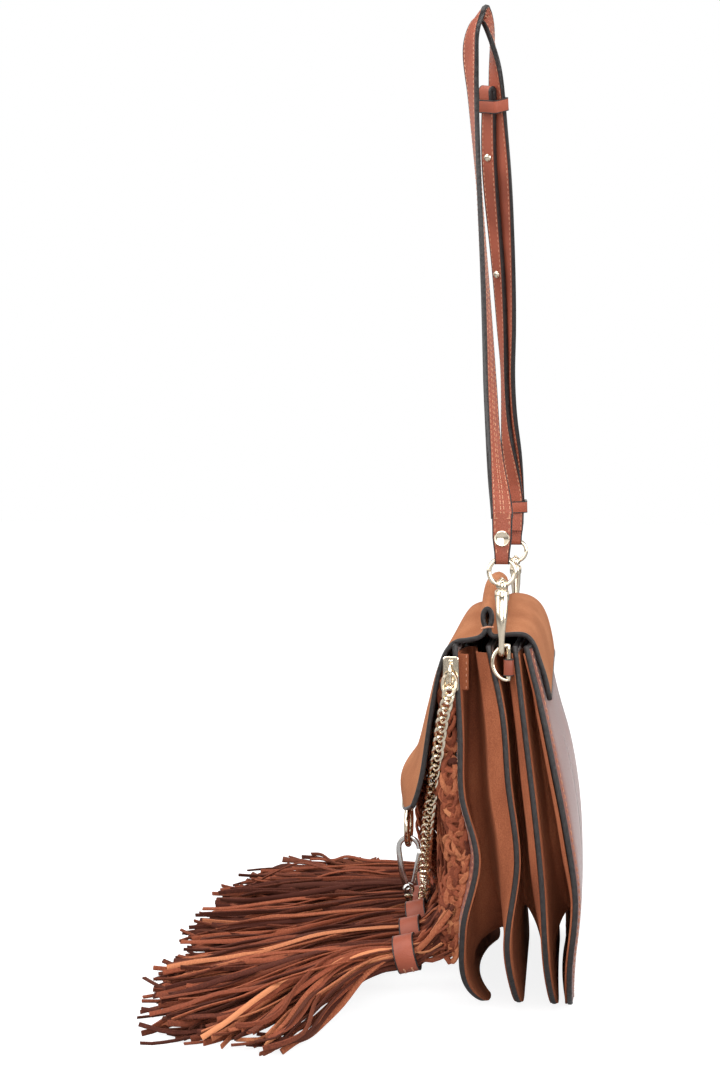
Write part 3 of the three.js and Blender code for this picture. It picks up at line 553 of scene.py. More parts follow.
def rim_line(top_x, top_z, radius):
    """Rim from the right top corner round the bottom to the left: X, Z and the direction inward."""
    angles = np.linspace(0, np.pi / 2, 14)
    cos, sin = np.cos(angles), np.sin(angles)
    corner = np.column_stack([BODY_HALF - CORNER + radius * cos, CORNER - radius * sin, -cos, sin])
    right = np.vstack([(top_x, top_z, -1, 0), corner])
    return np.vstack([right, right[::-1] * (-1, 1, -1, 1)])


def leaf_rim(leaf, inset, count, offset=0.0):
    """Closed line on a leaf, moved inward from its rim and along Y from its middle surface."""
    rim = rim_line(TOP_HALF - inset, BAG_HEIGHT - inset, CORNER - inset)
    x, z = resample(rim[:, :2], count, closed=True).T
    return line(x, leaf_y(leaf, x, z) + offset, z)


def stitch_row(piece, path, face_normal, surface, pitch=4.2, length=2.9, width=0.75, closed=False):
    """A row of thread stitches along a path, lying on a face."""
    count = max(int(travelled(path)[-1] / pitch), 2)
    for centre, run, up in zip(*frames(path, face_normal, count, closed)):
        ends = centre + np.linspace(-0.5, 0.5, 3)[:, None] * run * length
        lift = np.array([-0.25, 0.15, -0.25])[:, None] * up
        piece.add(sweep(ends + lift, circle(width / 2, 5, 0.8), np.cross(run, up)), surface)


def make_leaf(leaf):
    """Leather leaf: two faces, a painted rim and a row of stitches on each face."""
    piece = Piece("leaf_" + leaf)
    heights = np.concatenate([CORNER * (1 - np.cos(np.linspace(0, np.pi / 2, 14)))[:-1],
                              np.linspace(CORNER, BAG_HEIGHT, 40)])
    columns = 49
    edge_inset = 0.8
    z = np.repeat(np.clip(heights, edge_inset, BAG_HEIGHT - edge_inset)[:, None], columns, axis=1)
    x = np.linspace(-1, 1, columns) * (half_width(z) - edge_inset)
    y = leaf_y(leaf, x, z)
    for offset, order in ((-LEAF_THICK / 2, 1), (LEAF_THICK / 2, -1)):
        points = np.stack([x, y + offset, z], axis=-1).reshape(-1, 3)
        piece.add((points, [face[::order] for face in grid_faces(len(heights), columns)]))
    piece.add(sweep(leaf_rim(leaf, 0.6, 300), rounded(1.65, 1.15, 1.1, 5), Y_AXIS, closed=True), 1)
    for side in (-1, 1):
        seam = leaf_rim(leaf, 4.2, 400, side * LEAF_THICK / 2)
        stitch_row(piece, seam, side * Y_AXIS, 2, closed=True)
    piece.ride([PANEL, EDGE, THREAD], leaf)


def closed_sheet(middle, normal, thickness):
    """Points and faces of a thin sheet about a grid of points, closed round its rim."""
    rows, columns = middle.shape[:2]
    size = rows * columns
    points = np.vstack([(middle + normal * thickness / 2).reshape(-1, 3),
                        (middle - normal * thickness / 2).reshape(-1, 3)])
    faces = grid_faces(rows, columns)
    faces += [[corner + size for corner in face[::-1]] for face in faces]
    border = list(range(columns))
    border += [row * columns + columns - 1 for row in range(1, rows)]
    border += [(rows - 1) * columns + column for column in range(columns - 2, -1, -1)]
    border += [row * columns for row in range(rows - 2, 0, -1)]
    for here, there in zip(border, border[1:] + border[:1]):
        faces.append([here, there, there + size, here + size])
    return points, faces


def make_gusset(name, front, back, depth, lip, apex, hem):
    """Suede folded inward between two leaves. High up it follows the front one in, turns at its fold and
    comes back to a flat lip, which starts at the share lip of the gap and ends on the back leaf's rim.
    Low down it is an open fold, hem deep, with its deepest place at the share apex of the gap."""
    rows, columns = 150, 49
    mouth = 20.0
    top = BAG_HEIGHT - 4
    rim = resample(rim_line(half_width(top), top, CORNER), rows)
    rim[:, 2:] = unit(rim[:, 2:])
    rim_x, rim_z, inward_x, inward_z = (values[:, None] for values in rim.T)

    def fold_line(knots, reach):
        """Shares of the gap and depths along a fold given by some of its places."""
        across, inward, _ = spline([(share * mouth, deep * reach, 0) for share, deep in knots], columns).T
        return across / mouth, inward

    lipped, lipped_depth = fold_line(
        [(0, 0), (0.05, 0.45), (0.14, 0.88), (0.28, 1), (0.28 + 0.6 * (lip - 0.28), 0.88), (lip - 0.03, 0.4),
         (lip, 0.05), (lip + 0.04, 0.012), (1, 0)], depth)
    rest = 1 - apex
    opened, opened_depth = fold_line(
        [(0, 0), (0.1 * apex, 0.45), (0.42 * apex, 0.8), (apex, 1), (apex + 0.58 * rest, 0.8),
         (apex + 0.9 * rest, 0.45), (1, 0)], hem)
    upper = np.clip((rim_z - 45) / 60, 0, 1)
    upper = upper * upper * (3 - 2 * upper)
    gap_share = opened * (1 - upper) + lipped * upper
    mouth_tuck = 4.0 * np.clip((rim_z - 185) / 15, 0, 1)
    reach = opened_depth * (1 - upper) + lipped_depth * upper + mouth_tuck * np.sin(np.pi * gap_share)
    draws = rng.normal(0, 1, (rows // 10 + 2, 3))[:, 0]
    wave = np.interp(np.linspace(0, len(draws) - 1, rows), np.arange(len(draws)), draws)[:, None]
    x = rim_x + inward_x * reach
    z = rim_z + inward_z * reach
    clear = LEAF_THICK / 2 + 0.5
    front_y = leaf_y(front, x, z) + clear
    gap = leaf_y(back, x, z) - clear - front_y
    bow = np.sin(gap_share * np.pi) * wave * 0.4
    middle = np.stack([x, front_y + gap * gap_share + bow * np.minimum(1, gap / 12), z], axis=-1)
    normal = unit(np.cross(np.gradient(middle, axis=0), np.gradient(middle, axis=1)))
    piece = Piece(name + "_suede")
    piece.add(closed_sheet(middle, normal, 1.0))
    thing = piece.ride([GUSSET_SUEDE], name, smooth_angle=60)


for leaf_name in LEAF_LINES:
    make_leaf(leaf_name)
make_gusset("front_gusset", "front_panel", "front_divider", depth=30, lip=0.62, apex=0.85, hem=44)
make_gusset("middle_gusset", "front_divider", "rear_divider", depth=42, lip=0.62, apex=0.3, hem=58)
make_gusset("rear_gusset", "rear_divider", "back_panel", depth=34, lip=0.8, apex=0.7, hem=56)


# Flap

def flap_grid(rows, columns):
    """Middle surface of the flap: rows from its rear hem to its front hem, columns from left to right."""
    lines = np.array(FLAP_LINES)
    sides, middles = lines[:, 0], lines[:, 1]
    way = travelled(dense_curve(lines.mean(axis=1)))
    places = np.arange(len(way))
    at = np.interp(np.linspace(0, way[-1], rows), way, places)
    grid = np.empty((rows, columns, 3))
    for column, across in enumerate(np.linspace(-1, 1, columns)):
        y, z = dense_curve(sides + (middles - sides) * (1 - across ** 2)).T
        grid[:, column] = line(FLAP_HALF * across, np.interp(at, places, y), np.interp(at, places, z))
    return grid


def around(grid):
    """The border points of a grid, in order."""
    return np.vstack([grid[:-1, -1], grid[-1, :0:-1], grid[:0:-1, 0], grid[0, :-1]])


def make_flap():
    """One suede sheet with a painted edge, and a thread tie at each end of its ridge."""
    columns = 61
    grid = flap_grid(160, columns)
    normal = unit(np.cross(np.gradient(grid, axis=1), np.gradient(grid, axis=0)))
    piece = Piece("flap_suede_sheet")
    piece.add(closed_sheet(grid, normal, FLAP_THICK))
    piece.add(sweep(around(grid), rounded(1.5, 1.1, 1.05, 5), around(normal), closed=True), 1)
    for side in (-1, 1):
        tie = [(side * (FLAP_HALF + out), y, z)
               for out, y, z in ((0.4, -22.6, 231.2), (1.9, -19.2, 232.4), (0.4, -15.8, 232.2))]
        piece.add(sweep(spline(tie, 12), circle(0.6, 8), Z_AXIS), 2)
    thing = piece.make([FLAP_SUEDE, EDGE, THREAD], 60, ["flap", "flap_anchor"])
    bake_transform(thing)


make_flap()


# Metal and leather fittings

def arc(first, last, count):
    """Cosines and sines at even steps between two angles."""
    angles = np.linspace(first, last, count)
    return zip(np.cos(angles), np.sin(angles))


def lathe(profile, centre, axis, sides=28):
    """Turned body: (radius, height) points spun about an axis through a centre."""
    axis = unit(np.asarray(axis, float))
    start = Y_AXIS if abs(axis[1]) < 0.9 else X_AXIS
    first = unit(start - axis * np.dot(start, axis))
    spin = circle(1, sides)
    ring = spin[:, :1] * first + spin[:, 1:] * np.cross(axis, first)
    rings = [np.asarray(centre) + height * axis + radius * ring for radius, height in profile]
    return np.vstack(rings), tube_faces(len(profile), sides)


def plate_body(centre, width, height, thickness, corner):
    """Flat plate that faces +X, with round corners and bevelled edges."""
    bevel = 0.4
    rings = []
    for inset, level in ((bevel, 0), (0, bevel), (0, thickness - bevel), (bevel, thickness)):
        y, z = rounded(width / 2 - inset, height / 2 - inset, corner, 5).T
        rings.append(centre + line(level, y, z))
    return np.vstack(rings), tube_faces(len(rings), len(rings[0]))


def torus(centre, first, second, radius, wire, steps=48, sides=14):
    """Round wire ring in the plane of two directions."""
    spin = circle(radius, steps)
    path = np.asarray(centre) + spin[:, :1] * first + spin[:, 1:] * second
    return sweep(path, circle(wire / 2, sides), np.cross(first, second), closed=True)


def edged(piece, path, across, section, rail, reach, closed=False):
    """Leather strip in material 0, with a painted rail along each edge in material 1."""
    piece.add(sweep(path, rounded(*section), across, closed))
    for edge in (-reach, reach):
        piece.add(sweep(path + across * edge, rounded(*rail), across, closed), 1)


def one_piece(name, material, node, *bodies):
    """A piece of one material that replaces a node and rides with it."""
    piece = Piece(name)
    for body in bodies:
        piece.add(body)
    piece.ride([material], node)


def make_end(side, label):
    """Tab, D-ring, snap hook, gate and eye at one end of the bag."""
    def at(x, z, y=HOOK_Y):
        return np.array((side * x, y, z))

    bow = [at(RING_X, RING_Z + 10 * cos, RING_Y - 9.2 * sin) for cos, sin in arc(0, np.pi, 25)]
    bar = [at(RING_X, RING_Z + 10 * share, RING_Y) for share in np.linspace(-1, 1, 10)[1:-1]]
    one_piece("d_ring_wire_" + label, GOLD, "d_ring_" + label,
              sweep(np.array(bow + bar), circle(1.3, 14), X_AXIS, closed=True))

    tab_half = 4.75
    tab_z = HOOK_BEND_Z - 2.6 - tab_half
    wrap = [(RING_X + 2.2 * sin, 2.2 * cos) for cos, sin in arc(0.2, np.pi - 0.2, 13)]
    wrap = [(108, 1.6), (112, 2.2)] + wrap + [(112, -2.2), (108, -1.0)]
    loop = np.array([at(x, tab_z, RING_Y + y) for x, y in wrap])
    tab = Piece("ring_tab_" + label)
    edged(tab, resample(loop, 40), Z_AXIS, (tab_half, 0.7, 0.5), (0.35, 0.85, 0.3), 4.6)
    tab.ride([STRAP, EDGE], "d_ring_tab_" + label)

    bend_z = HOOK_BEND_Z + 4
    hook = [at(RING_X + 1.2, HOOK_TOP - 3), at(RING_X + 3.2, HOOK_TOP - 9), at(RING_X + 4.4, HOOK_TOP - 18)]
    hook += [at(RING_X + 4 * cos, bend_z - 4 * sin) for cos, sin in arc(0.1, np.pi, 9)]
    hook.append(at(RING_X - 4, bend_z + 2.6))
    share = np.linspace(0, 1, 60)
    stations = [0, 0.25, 0.42, 0.55, 1]
    wide = np.interp(share, stations, [3.7, 3.3, 2.4, 1.85, 1.5])
    deep = np.interp(share, stations, [2.6, 2.2, 1.95, 1.8, 1.5])
    head = [(2.6, -7), (3.6, -6.6), (4.2, -5.4), (4.2, -1.2), (3.7, -0.4), (3.0, 0)]
    stem = [(1, -1), (1, 7)]
    one_piece("snap_hook_" + label, GOLD, "hook_" + label,
              sweep(spline(hook, 60), circle(1, 16), Y_AXIS, scale=wide, scale_normal=deep),
              lathe(head, at(RING_X, HOOK_TOP), Z_AXIS), lathe(stem, at(RING_X, HOOK_TOP), Z_AXIS, 12))

    gate = [at(RING_X - 3, HOOK_TOP - 7.3), at(RING_X - 3.5, HOOK_TOP - 18), at(RING_X - 4, bend_z + 3.1)]
    one_piece("snap_gate_" + label, GOLD, "hook_gate_" + label,
              sweep(spline(gate, 16), circle(1.2, 12), Y_AXIS))

    boss = [(2.2, 0), (3.2, 0.6), (3.4, 2.5), (3.0, 4.4), (2.0, 5.4), (0.8, 6.0)]
    one_piece("eye_ring_" + label, GOLD, "eye_" + label,
              torus(at(RING_X, EYE_Z), Y_AXIS, Z_AXIS, EYE_RADIUS, 2.8),
              lathe(boss, at(RING_X, HOOK_TOP + 0.3), Z_AXIS))


def make_chain():
    """Plate, patch, staple and twisted curb links from the front panel's rim to the clip."""
    plate_z = 206.0
    rim = float(half_width(plate_z - 10)) + 0.3
    place = np.array((rim, float(leaf_y("front_panel", rim, plate_z)) - 4.5 + LEAF_THICK / 2, plate_z))
    rivet = [(1.3, 0), (1.2, 0.5), (0.7, 0.8), (0.01, 0.85)]
    one_piece("chain_plate_body", GOLD, "chain_plate", plate_body(place, 9, 20, 2, 1.6),
              *(lathe(rivet, place + (2, 0, height), X_AXIS, 14) for height in (-7.4, 7.4)))

    patch = Piece("chain_patch")
    middle = place + (-4.4, 7.2, 0.5)
    patch.add(plate_body(middle, 5.6, 21, 1.4, 0.8))
    seam = middle + np.array([(1.4, 1.5, -9), (1.4, 1.5, 9)])
    stitch_row(patch, resample(seam, 40), X_AXIS, 1, pitch=3, length=2.1, width=0.45)
    patch.ride([GUSSET_SUEDE, THREAD])

    staple = place + (2, 0, 0)
    bow = [(-0.6, -5.4), (3.4, -5.2), (5.6, -3.2), (5.8, 0), (5.6, 3.2), (3.4, 5.2), (-0.6, 5.4)]
    legs = [staple + (out, 0, up) for out, up in bow]
    one_piece("staple_wire", GOLD, "chain_staple", sweep(spline(legs, 36), circle(1.2, 12), Y_AXIS))

    route = [staple + (4.4, -0.4, -5.5), staple + (3.8, -1.2, -14), staple + (-1, -4.5, -26), (108, -47, 163),
             (100, -50.5, 142), (85, -55, 115), (65, -58.5, 87), (48, -60.5, 69), (26, -62, 59),
             (14.1, -63.5, 54), (3.8, -66, 40), (3.4, -67.5, 30), (2.7, -70, 23.5), (0.8, -73, 23),
             (0, CLIP_Y, 27)]
    fine = spline(route, 1200)
    pitch = 6.3
    centres = resample(fine, int(travelled(fine)[-1] / pitch))
    along = tangents(centres)
    facing = square_to((1, -0.6, 0.2), along)
    tilt = math.radians(32)
    wide = np.cross(along, facing) * math.cos(tilt) + facing * math.sin(tilt)
    deep = np.cross(along, wide)
    half_long, half_wide, twist = 4.9, 2.9, 0.9
    angles = np.linspace(0, 2 * np.pi, 22, endpoint=False)[:, None]
    # Each run names two bodies and has the links between two shares of the chain
    runs = [("curb_chain_links", "bag", "flap", 0, 0.68), ("curb_chain_middle", "flap", "ring", 0.68, 0.84),
            ("curb_chain_end", "ring", "clip", 0.84, 1)]
    for name, body, next_body, begin, finish in runs:
        first, last = int(begin * len(centres)), int(finish * len(centres))
        chain = Piece(name)
        for index in range(first, last):
            size = 1.35 if index == 0 else 1.0
            path = (centres[index] + half_long * size * np.cos(angles) * along[index]
                    + half_wide * size * np.sin(angles) * wide[index]
                    + twist * np.sin(2 * angles) * deep[index])
            chain.add(sweep(path, circle(1.05, 8), deep[index], closed=True))
        thing = chain.make([GOLD], 40, ["curb_chain"])
        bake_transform(thing)


def make_clip():
    """Clamp and ring on the flap, and the clip that holds the chain."""
    def at(height, places):
        """Points in the clip's middle plane, from (Y, Z) places about its axis and a height."""
        return [(0, CLIP_Y + y, height + z) for y, z in places]

    under = [(3.6 * cos, -3.4 * sin) for cos, sin in arc(0.3, np.pi - 0.3, 9)]
    bend = at(FLAP_RING_Z + FLAP_RING_RADIUS, [(3.4, 6.5), (3.6, 1)] + under + [(-3.6, 1), (-3.4, 6.5)])
    one_piece("flap_clamp_plate", GOLD, "flap_clamp", sweep(spline(bend, 50), rounded(4, 0.6, 0.4), X_AXIS))
    one_piece("flap_ring_wire", GOLD, "flap_ring",
              torus((0, CLIP_Y, FLAP_RING_Z), X_AXIS, Z_AXIS, FLAP_RING_RADIUS, FLAP_RING_WIRE, 56, 16))

    arm_half = 1.6
    ring_gap = 0.3
    pivot_z = FLAP_RING_Z - FLAP_RING_RADIUS + FLAP_RING_WIRE / 2 + ring_gap + arm_half - 34
    pivot = (0, CLIP_Y, pivot_z)
    bow_rise = 27.5
    hook = [(-6.5 * cos, bow_rise + 6.5 * sin) for cos, sin in arc(0, np.pi * 1.03, 11)]
    arm = spline(at(pivot_z, [(-1.8, 1), (-3.3, 7), (-4.9, 14), (-6.3, bow_rise - 4)] + hook), 70)
    deep = np.interp(np.linspace(0, 1, 70), [0, 0.2, 0.5, 0.9, 1], [2.3, 2.0, 1.7, 1.5, 1.3])
    disc = [(2.6, -2.6), (3.5, -2.2), (3.8, -1.6), (3.8, 1.6), (3.5, 2.2), (2.6, 2.6)]
    one_piece("clip_hook", SILVER, "clip_body",
              sweep(arm, rounded(1, 1, 0.35), X_AXIS, scale=1.5, scale_normal=deep),
              lathe(disc, pivot, X_AXIS))
    rivet = [(0.6, -3.3), (1.3, -3.0), (1.3, 3.0), (0.6, 3.3)]
    one_piece("clip_rivet", SILVER, "clip_pin", lathe(rivet, pivot, X_AXIS, 16))
    lever = spline(at(pivot_z, [(3.1, 4.8), (4.2, 10), (5.6, 18), (6.7, bow_rise - 3.6)]), 24)
    one_piece("clip_lever", SILVER, "clip_gate", sweep(lever, rounded(1.4, 1.35, 0.5), X_AXIS))
    neck = (0, CLIP_Y, pivot_z - 3.8)
    collar = [(2.0, -0.1), (2.9, -0.5), (2.9, -2.2), (2.5, -2.7), (2.5, -7.4), (3.0, -8.0), (3.0, -9.6),
              (2.2, -10)]
    one_piece("clip_collar", GOLD, "clip_ferrule", lathe(collar, neck, Z_AXIS))
    flange = [(2.4, -10.3), (3.8, -10.8), (3.8, -12.2), (2.6, -12.8), (2.2, -14.2), (0.5, -14.3)]
    one_piece("clip_flange", GOLD, "clip_swivel", lathe(flange, neck, Z_AXIS))


# Strap: each point is a share of half its span, Y from the hooks' line and a share of its rise

NEAR_LEG = [(1, 0, 0), (0.98, -0.5, 0.07), (0.8, -6.5, 0.196), (0.56, -12.5, 0.444), (0.37, -17.5, 0.63),
            (0.172, -23, 0.827), (0.06, -25.5, 0.948)]
ARCH_TOP = (0, -18, 1)
FAR_LEG = [(-0.075, -12, 0.934), (-0.216, -9.5, 0.813), (-0.371, -6.2, 0.669), (-0.586, -3.7, 0.481),
           (-0.793, -2.7, 0.285), (-0.93, -1.2, 0.15), (-0.998, -0.1, 0.07), (-1, 0, 0.035), (-1, 0, 0)]
# Turn of the strap in degrees, at shares of the rise up the near leg and on down the far one
STRAP_TURN = [(0, 0), (0.07, 15), (0.15, 50), (0.3, 66), (0.5, 82), (0.7, 96), (0.85, 116), (0.93, 134),
              (1, 118), (1.1, 56), (1.24, 30), (1.4, 40), (1.57, 58), (1.67, 72), (1.76, 60), (1.84, 25),
              (1.9, 0), (2, 0)]
# How far the extension lies off the strap's middle, at shares of the rise
EXTENSION_OFFSET = [(0, 0), (0.08, 0), (0.25, -2.5), (0.52, -5.5), (0.76, -7), (0.87, -3)]
# Stitches: pitch, length and width
LONG_STITCH = (3.4, 2.4, 0.6)
SHORT_STITCH = (3.2, 2.3, 0.6)


def end_tab(piece, side):
    """Doubled strap end, folded round the eye's top wire and narrowing towards it."""
    wire_z = EYE_Z + EYE_RADIUS
    front = [(2.6, wire_z + share * 26) for share in (1, 0.75, 0.5, 0.25, 0.08)]
    fold = [(2.5 * cos, wire_z - 2.5 * sin) for cos, sin in arc(0.3, np.pi - 0.3, 9)]
    back = [(-x, z) for x, z in reversed(front)]
    path = spline([(side * (RING_X + x), HOOK_Y, z) for x, z in front + fold + back], 90)
    narrow = np.interp(path[:, 2] - wire_z, [-3, 3, 12, 26], [0.74, 0.78, 1, 1.06])
    piece.add(sweep(path, rounded(5.2, 0.75, 0.5), Y_AXIS, scale=narrow, scale_normal=1))
    for edge in (-1, 1):
        piece.add(sweep(path + np.outer(edge * 5.1 * narrow, Y_AXIS), rounded(0.4, 0.85, 0.35), Y_AXIS), 1)
    face = side * X_AXIS
    for edge in (-1, 1):
        seam = path + np.outer(edge * 3.9 * narrow, Y_AXIS) + face * 0.75
        stitch_row(piece, seam[2:33], face, 2, *SHORT_STITCH)
    top = path[1] + face * 0.75 - 2.0 * Z_AXIS
    stitch_row(piece, top + np.linspace(-3.6, 3.6, 8)[:, None] * Y_AXIS, face, 2, *SHORT_STITCH)


def make_strap():
    """Shoulder strap, its extension on the far leg's inner face, keepers, studs and end caps."""
    base_z = EYE_Z + EYE_RADIUS + 4
    route = [(share_x * RING_X, HOOK_Y + y, base_z + share_z * STRAP_RISE)
             for share_x, y, share_z in NEAR_LEG + [ARCH_TOP] + FAR_LEG]
    path = spline(route, 300)
    share = (path[:, 2] - base_z) / STRAP_RISE
    far = np.arange(len(path)) > int(np.argmax(path[:, 2]))
    turn = np.radians(table_value(STRAP_TURN, np.where(far, 2 - share, share)))[:, None]
    run = tangents(path)
    flat = square_to(Y_AXIS, run)
    across = flat * np.cos(turn) + np.cross(run, flat) * np.sin(turn)
    outward = np.cross(across, run)
    strip = (path, run, across, outward)

    strap = Piece("shoulder_strap_leather")
    end_share = 0.055
    begin = int(np.argmax(share > end_share))
    finish = len(share) - int(np.argmax(share[::-1] > end_share))
    rail = (0.5, 1.58, 0.4)
    edged(strap, path[begin:finish], across[begin:finish], (6, 1.5, 0.6), rail, 5.75)
    sewn = slice(begin + 1, finish - 1)
    for place, face in ((-4.5, 1), (4.5, 1), (-0.9, 1), (0.9, 1), (-4.5, -1), (4.5, -1)):
        seam = path + across * place + outward * face * 1.5
        stitch_row(strap, seam[sewn], outward[sewn] * face, 2, *LONG_STITCH)
    end_tab(strap, 1)
    end_tab(strap, -1)
    strap.ride([STRAP, EDGE, THREAD], "shoulder_strap")

    def far_frame(at):
        """Place, run, across and outward on the far leg at one or more shares of the rise."""
        picked = [np.column_stack([np.interp(at, share[far][::-1], column) for column in values[far][::-1].T])
                  for values in strip]
        return picked[:1] + [unit(values) for values in picked[1:]]

    shares = np.linspace(0.01, 0.87, 200)
    place, run, across, outward = far_frame(shares)
    layer = np.interp(shares, [0, 0.065, 0.09, 0.11, 0.13], [5.3, 5.3, 4.8, 3.9, 3.5])
    inner = place - outward * layer[:, None] + across * table_value(EXTENSION_OFFSET, shares)[:, None]
    tip, tip_run, tip_out = inner[-1], -run[-1], outward[-1]
    turned = [tip - tip_out * 1.75 * (1 - cos) + tip_run * 1.75 * sin
              for cos, sin in list(arc(0, np.pi, 8))[1:]]
    turned += [turned[-1] - tip_run * step for step in np.linspace(2, 14, 7)]
    extension = Piece("strap_extension_leather")
    whole_across = np.vstack([across, np.tile(across[-1], (len(turned), 1))])
    edged(extension, np.vstack([inner, turned]), whole_across, (5, 1.5, 0.6), rail, 4.75)
    for edge in (-3.6, 3.6):
        seam = inner + across * edge - outward * 1.5
        stitch_row(extension, seam[1:-10], -outward[1:-10], 2, *LONG_STITCH)
    low = turned[-1] + tip_run * 1.5 - tip_out * 1.5
    stitch_row(extension, low + np.linspace(-4, 4, 8)[:, None] * across[-1], -tip_out, 2, *SHORT_STITCH)
    extension.ride([STRAP, EDGE, THREAD], "strap_extension")

    for name, at, depth in (("upper_keeper", 0.845, 7.1), ("lower_keeper", 0.062, 5.3)):
        place, run, across, outward = (values[0] for values in far_frame(np.array([at])))
        offset = float(table_value(EXTENSION_OFFSET, at))
        low_side, high_side = min(offset - 5, -6), max(offset + 5, 6)
        middle = place - outward * depth / 2 + across * (low_side + high_side) / 2
        outline = rounded((high_side - low_side) / 2 + 1.2, (depth + 3) / 2 + 1.2, 1.6, 6)
        loop = middle + outline[:, :1] * across + outline[:, 1:] * outward
        keeper = Piece(name + "_loop")
        edged(keeper, loop, run, (4, 0.75, 0.5), (0.35, 0.85, 0.3), 3.8, closed=True)
        keeper.ride([STRAP, EDGE], name)

    dome = [(2.3, 0), (2.6, 0.4), (2.4, 1.0), (1.7, 1.5), (0.8, 1.7), (0.01, 1.75)]
    for name, at in (("stud_upper", 0.752), ("stud_lower", 0.533)):
        place, run, across, outward = (values[0] for values in far_frame(np.array([at])))
        face = place - outward * 5.0 + across * float(table_value(EXTENSION_OFFSET, at))
        one_piece(name + "_cap", GOLD, name, lathe(dome, face, -outward))
    sunk_cap = [(4.05, 0), (4.5, 0.5), (4.5, 1.2), (4.0, 1.7), (3.7, 1.7), (3.4, 1.525), (0.01, 1.525)]
    for label, side in (("right", 1), ("left", -1)):
        place = (side * (RING_X + 3.3), HOOK_Y, EYE_Z + EYE_RADIUS + 11.7)
        one_piece("end_cap_" + label, GOLD, "end_stud_" + label, lathe(sunk_cap, place, side * X_AXIS, 36))


make_end(1, "right")
make_end(-1, "left")
make_chain()
make_clip()
make_strap()


# Crochet, bands and fringe

# Flat laces: (along the width, along the thickness); a fringe lace is scaled to its own width
LACE_SECTION = np.array([(1.75, 0), (1.2, 0.72), (-1.2, 0.72), (-1.75, 0), (-1.2, -0.72), (1.2, -0.72)])
FRINGE_SECTION = np.array([(1, 0), (0.7, 0.6), (-0.7, 0.6), (-1, 0), (-0.7, -0.6), (0.7, -0.6)])
LACE_CLEARANCE = 1.2
FRINGE_HALF = 187.0
FRINGE_LONGEST = 154.0
TASSELS = 6
TASSEL_PITCH = 38.0
END_TASSEL_X = 95.0
BAND_AXIS = unit(np.array((0.0, -0.97, -0.24)))
BAND_UP = unit(np.array((0.0, -0.24, 0.97)))


def crochet_y(x, z):
    """Y of the crochet's front face."""
    return panel_face(x, z) - CROCHET_GAP - CROCHET_THICK


def before_panel(points):
    """The same points, kept in front of the front panel's face."""
    x, y, z = points.T
    return line(x, np.minimum(y, panel_face(x, z) - LACE_CLEARANCE), z)


def add_lace(piece, path, up, tone, tone_spread):
    """A flat lace that lies roughly square to a direction, in a tone of its own."""
    face = np.cross(tangents(path), up) + rng.normal(0, 0.25, 3)
    piece.add(sweep(path, LACE_SECTION, face), tone=np.clip(rng.normal(tone, tone_spread), 0, 1))


def braid(piece, path, normal, pitch, reach):
    """Chain of stitches along a path, each of two flat laces that bow out and tuck under the next stitch."""
    # One lace: shares of the pitch along the chain and of the reach across it, and height out of the work
    knots = np.array([(-0.55, 0.1, -1.6), (-0.15, 0.85, 0.2), (0.5, 1.0, 1.5), (1.0, 0.55, 1.7),
                      (1.4, 0.05, -0.4)])
    count = max(int(travelled(path)[-1] / pitch), 3)
    for centre, run, up in zip(*frames(path, normal, count)):
        across = np.cross(up, run)
        for side in (-1, 1):
            shape = knots + rng.normal(0, 1, knots.shape) * (0.07, 0.12, 0.35)
            curve = centre + shape * (pitch, side * reach, 1) @ np.array([run, across, up])
            add_lace(piece, before_panel(spline(curve, 11)), up, 0.5, 0.16)


def tangle(piece, path, normal, count, spread):
    """Loose lace loops along a path, each a curl that stands out of the work and goes back in."""
    rise = 3.6 * np.sin(np.linspace(0, np.pi, 9)) - 1.8
    for centre, along, up in zip(*frames(path, normal, count)):
        over = np.cross(up, along)
        heading = rng.uniform(0, 2 * np.pi)
        first = along * math.cos(heading) + over * math.sin(heading)
        second = np.cross(up, first)
        size = rng.uniform(3.0, 4.8)
        turn = np.linspace(-0.3, rng.uniform(3.2, 4.6), 9)
        middle = centre + over * rng.normal(0, spread) + along * rng.normal(0, 2)
        curl = (middle + np.outer(size * np.cos(turn), first) + np.outer(0.75 * size * np.sin(turn), second)
                + np.outer(rise, up))
        x, y, z = before_panel(spline(curl, 14)).T
        # Loops stand out freely below the flap's hem and lie within the work under the flap
        stand = np.interp(z, (120, 150), (9, -1))
        add_lace(piece, line(x, np.maximum(y, crochet_y(x, z) - stand), z), up, 0.52, 0.2)


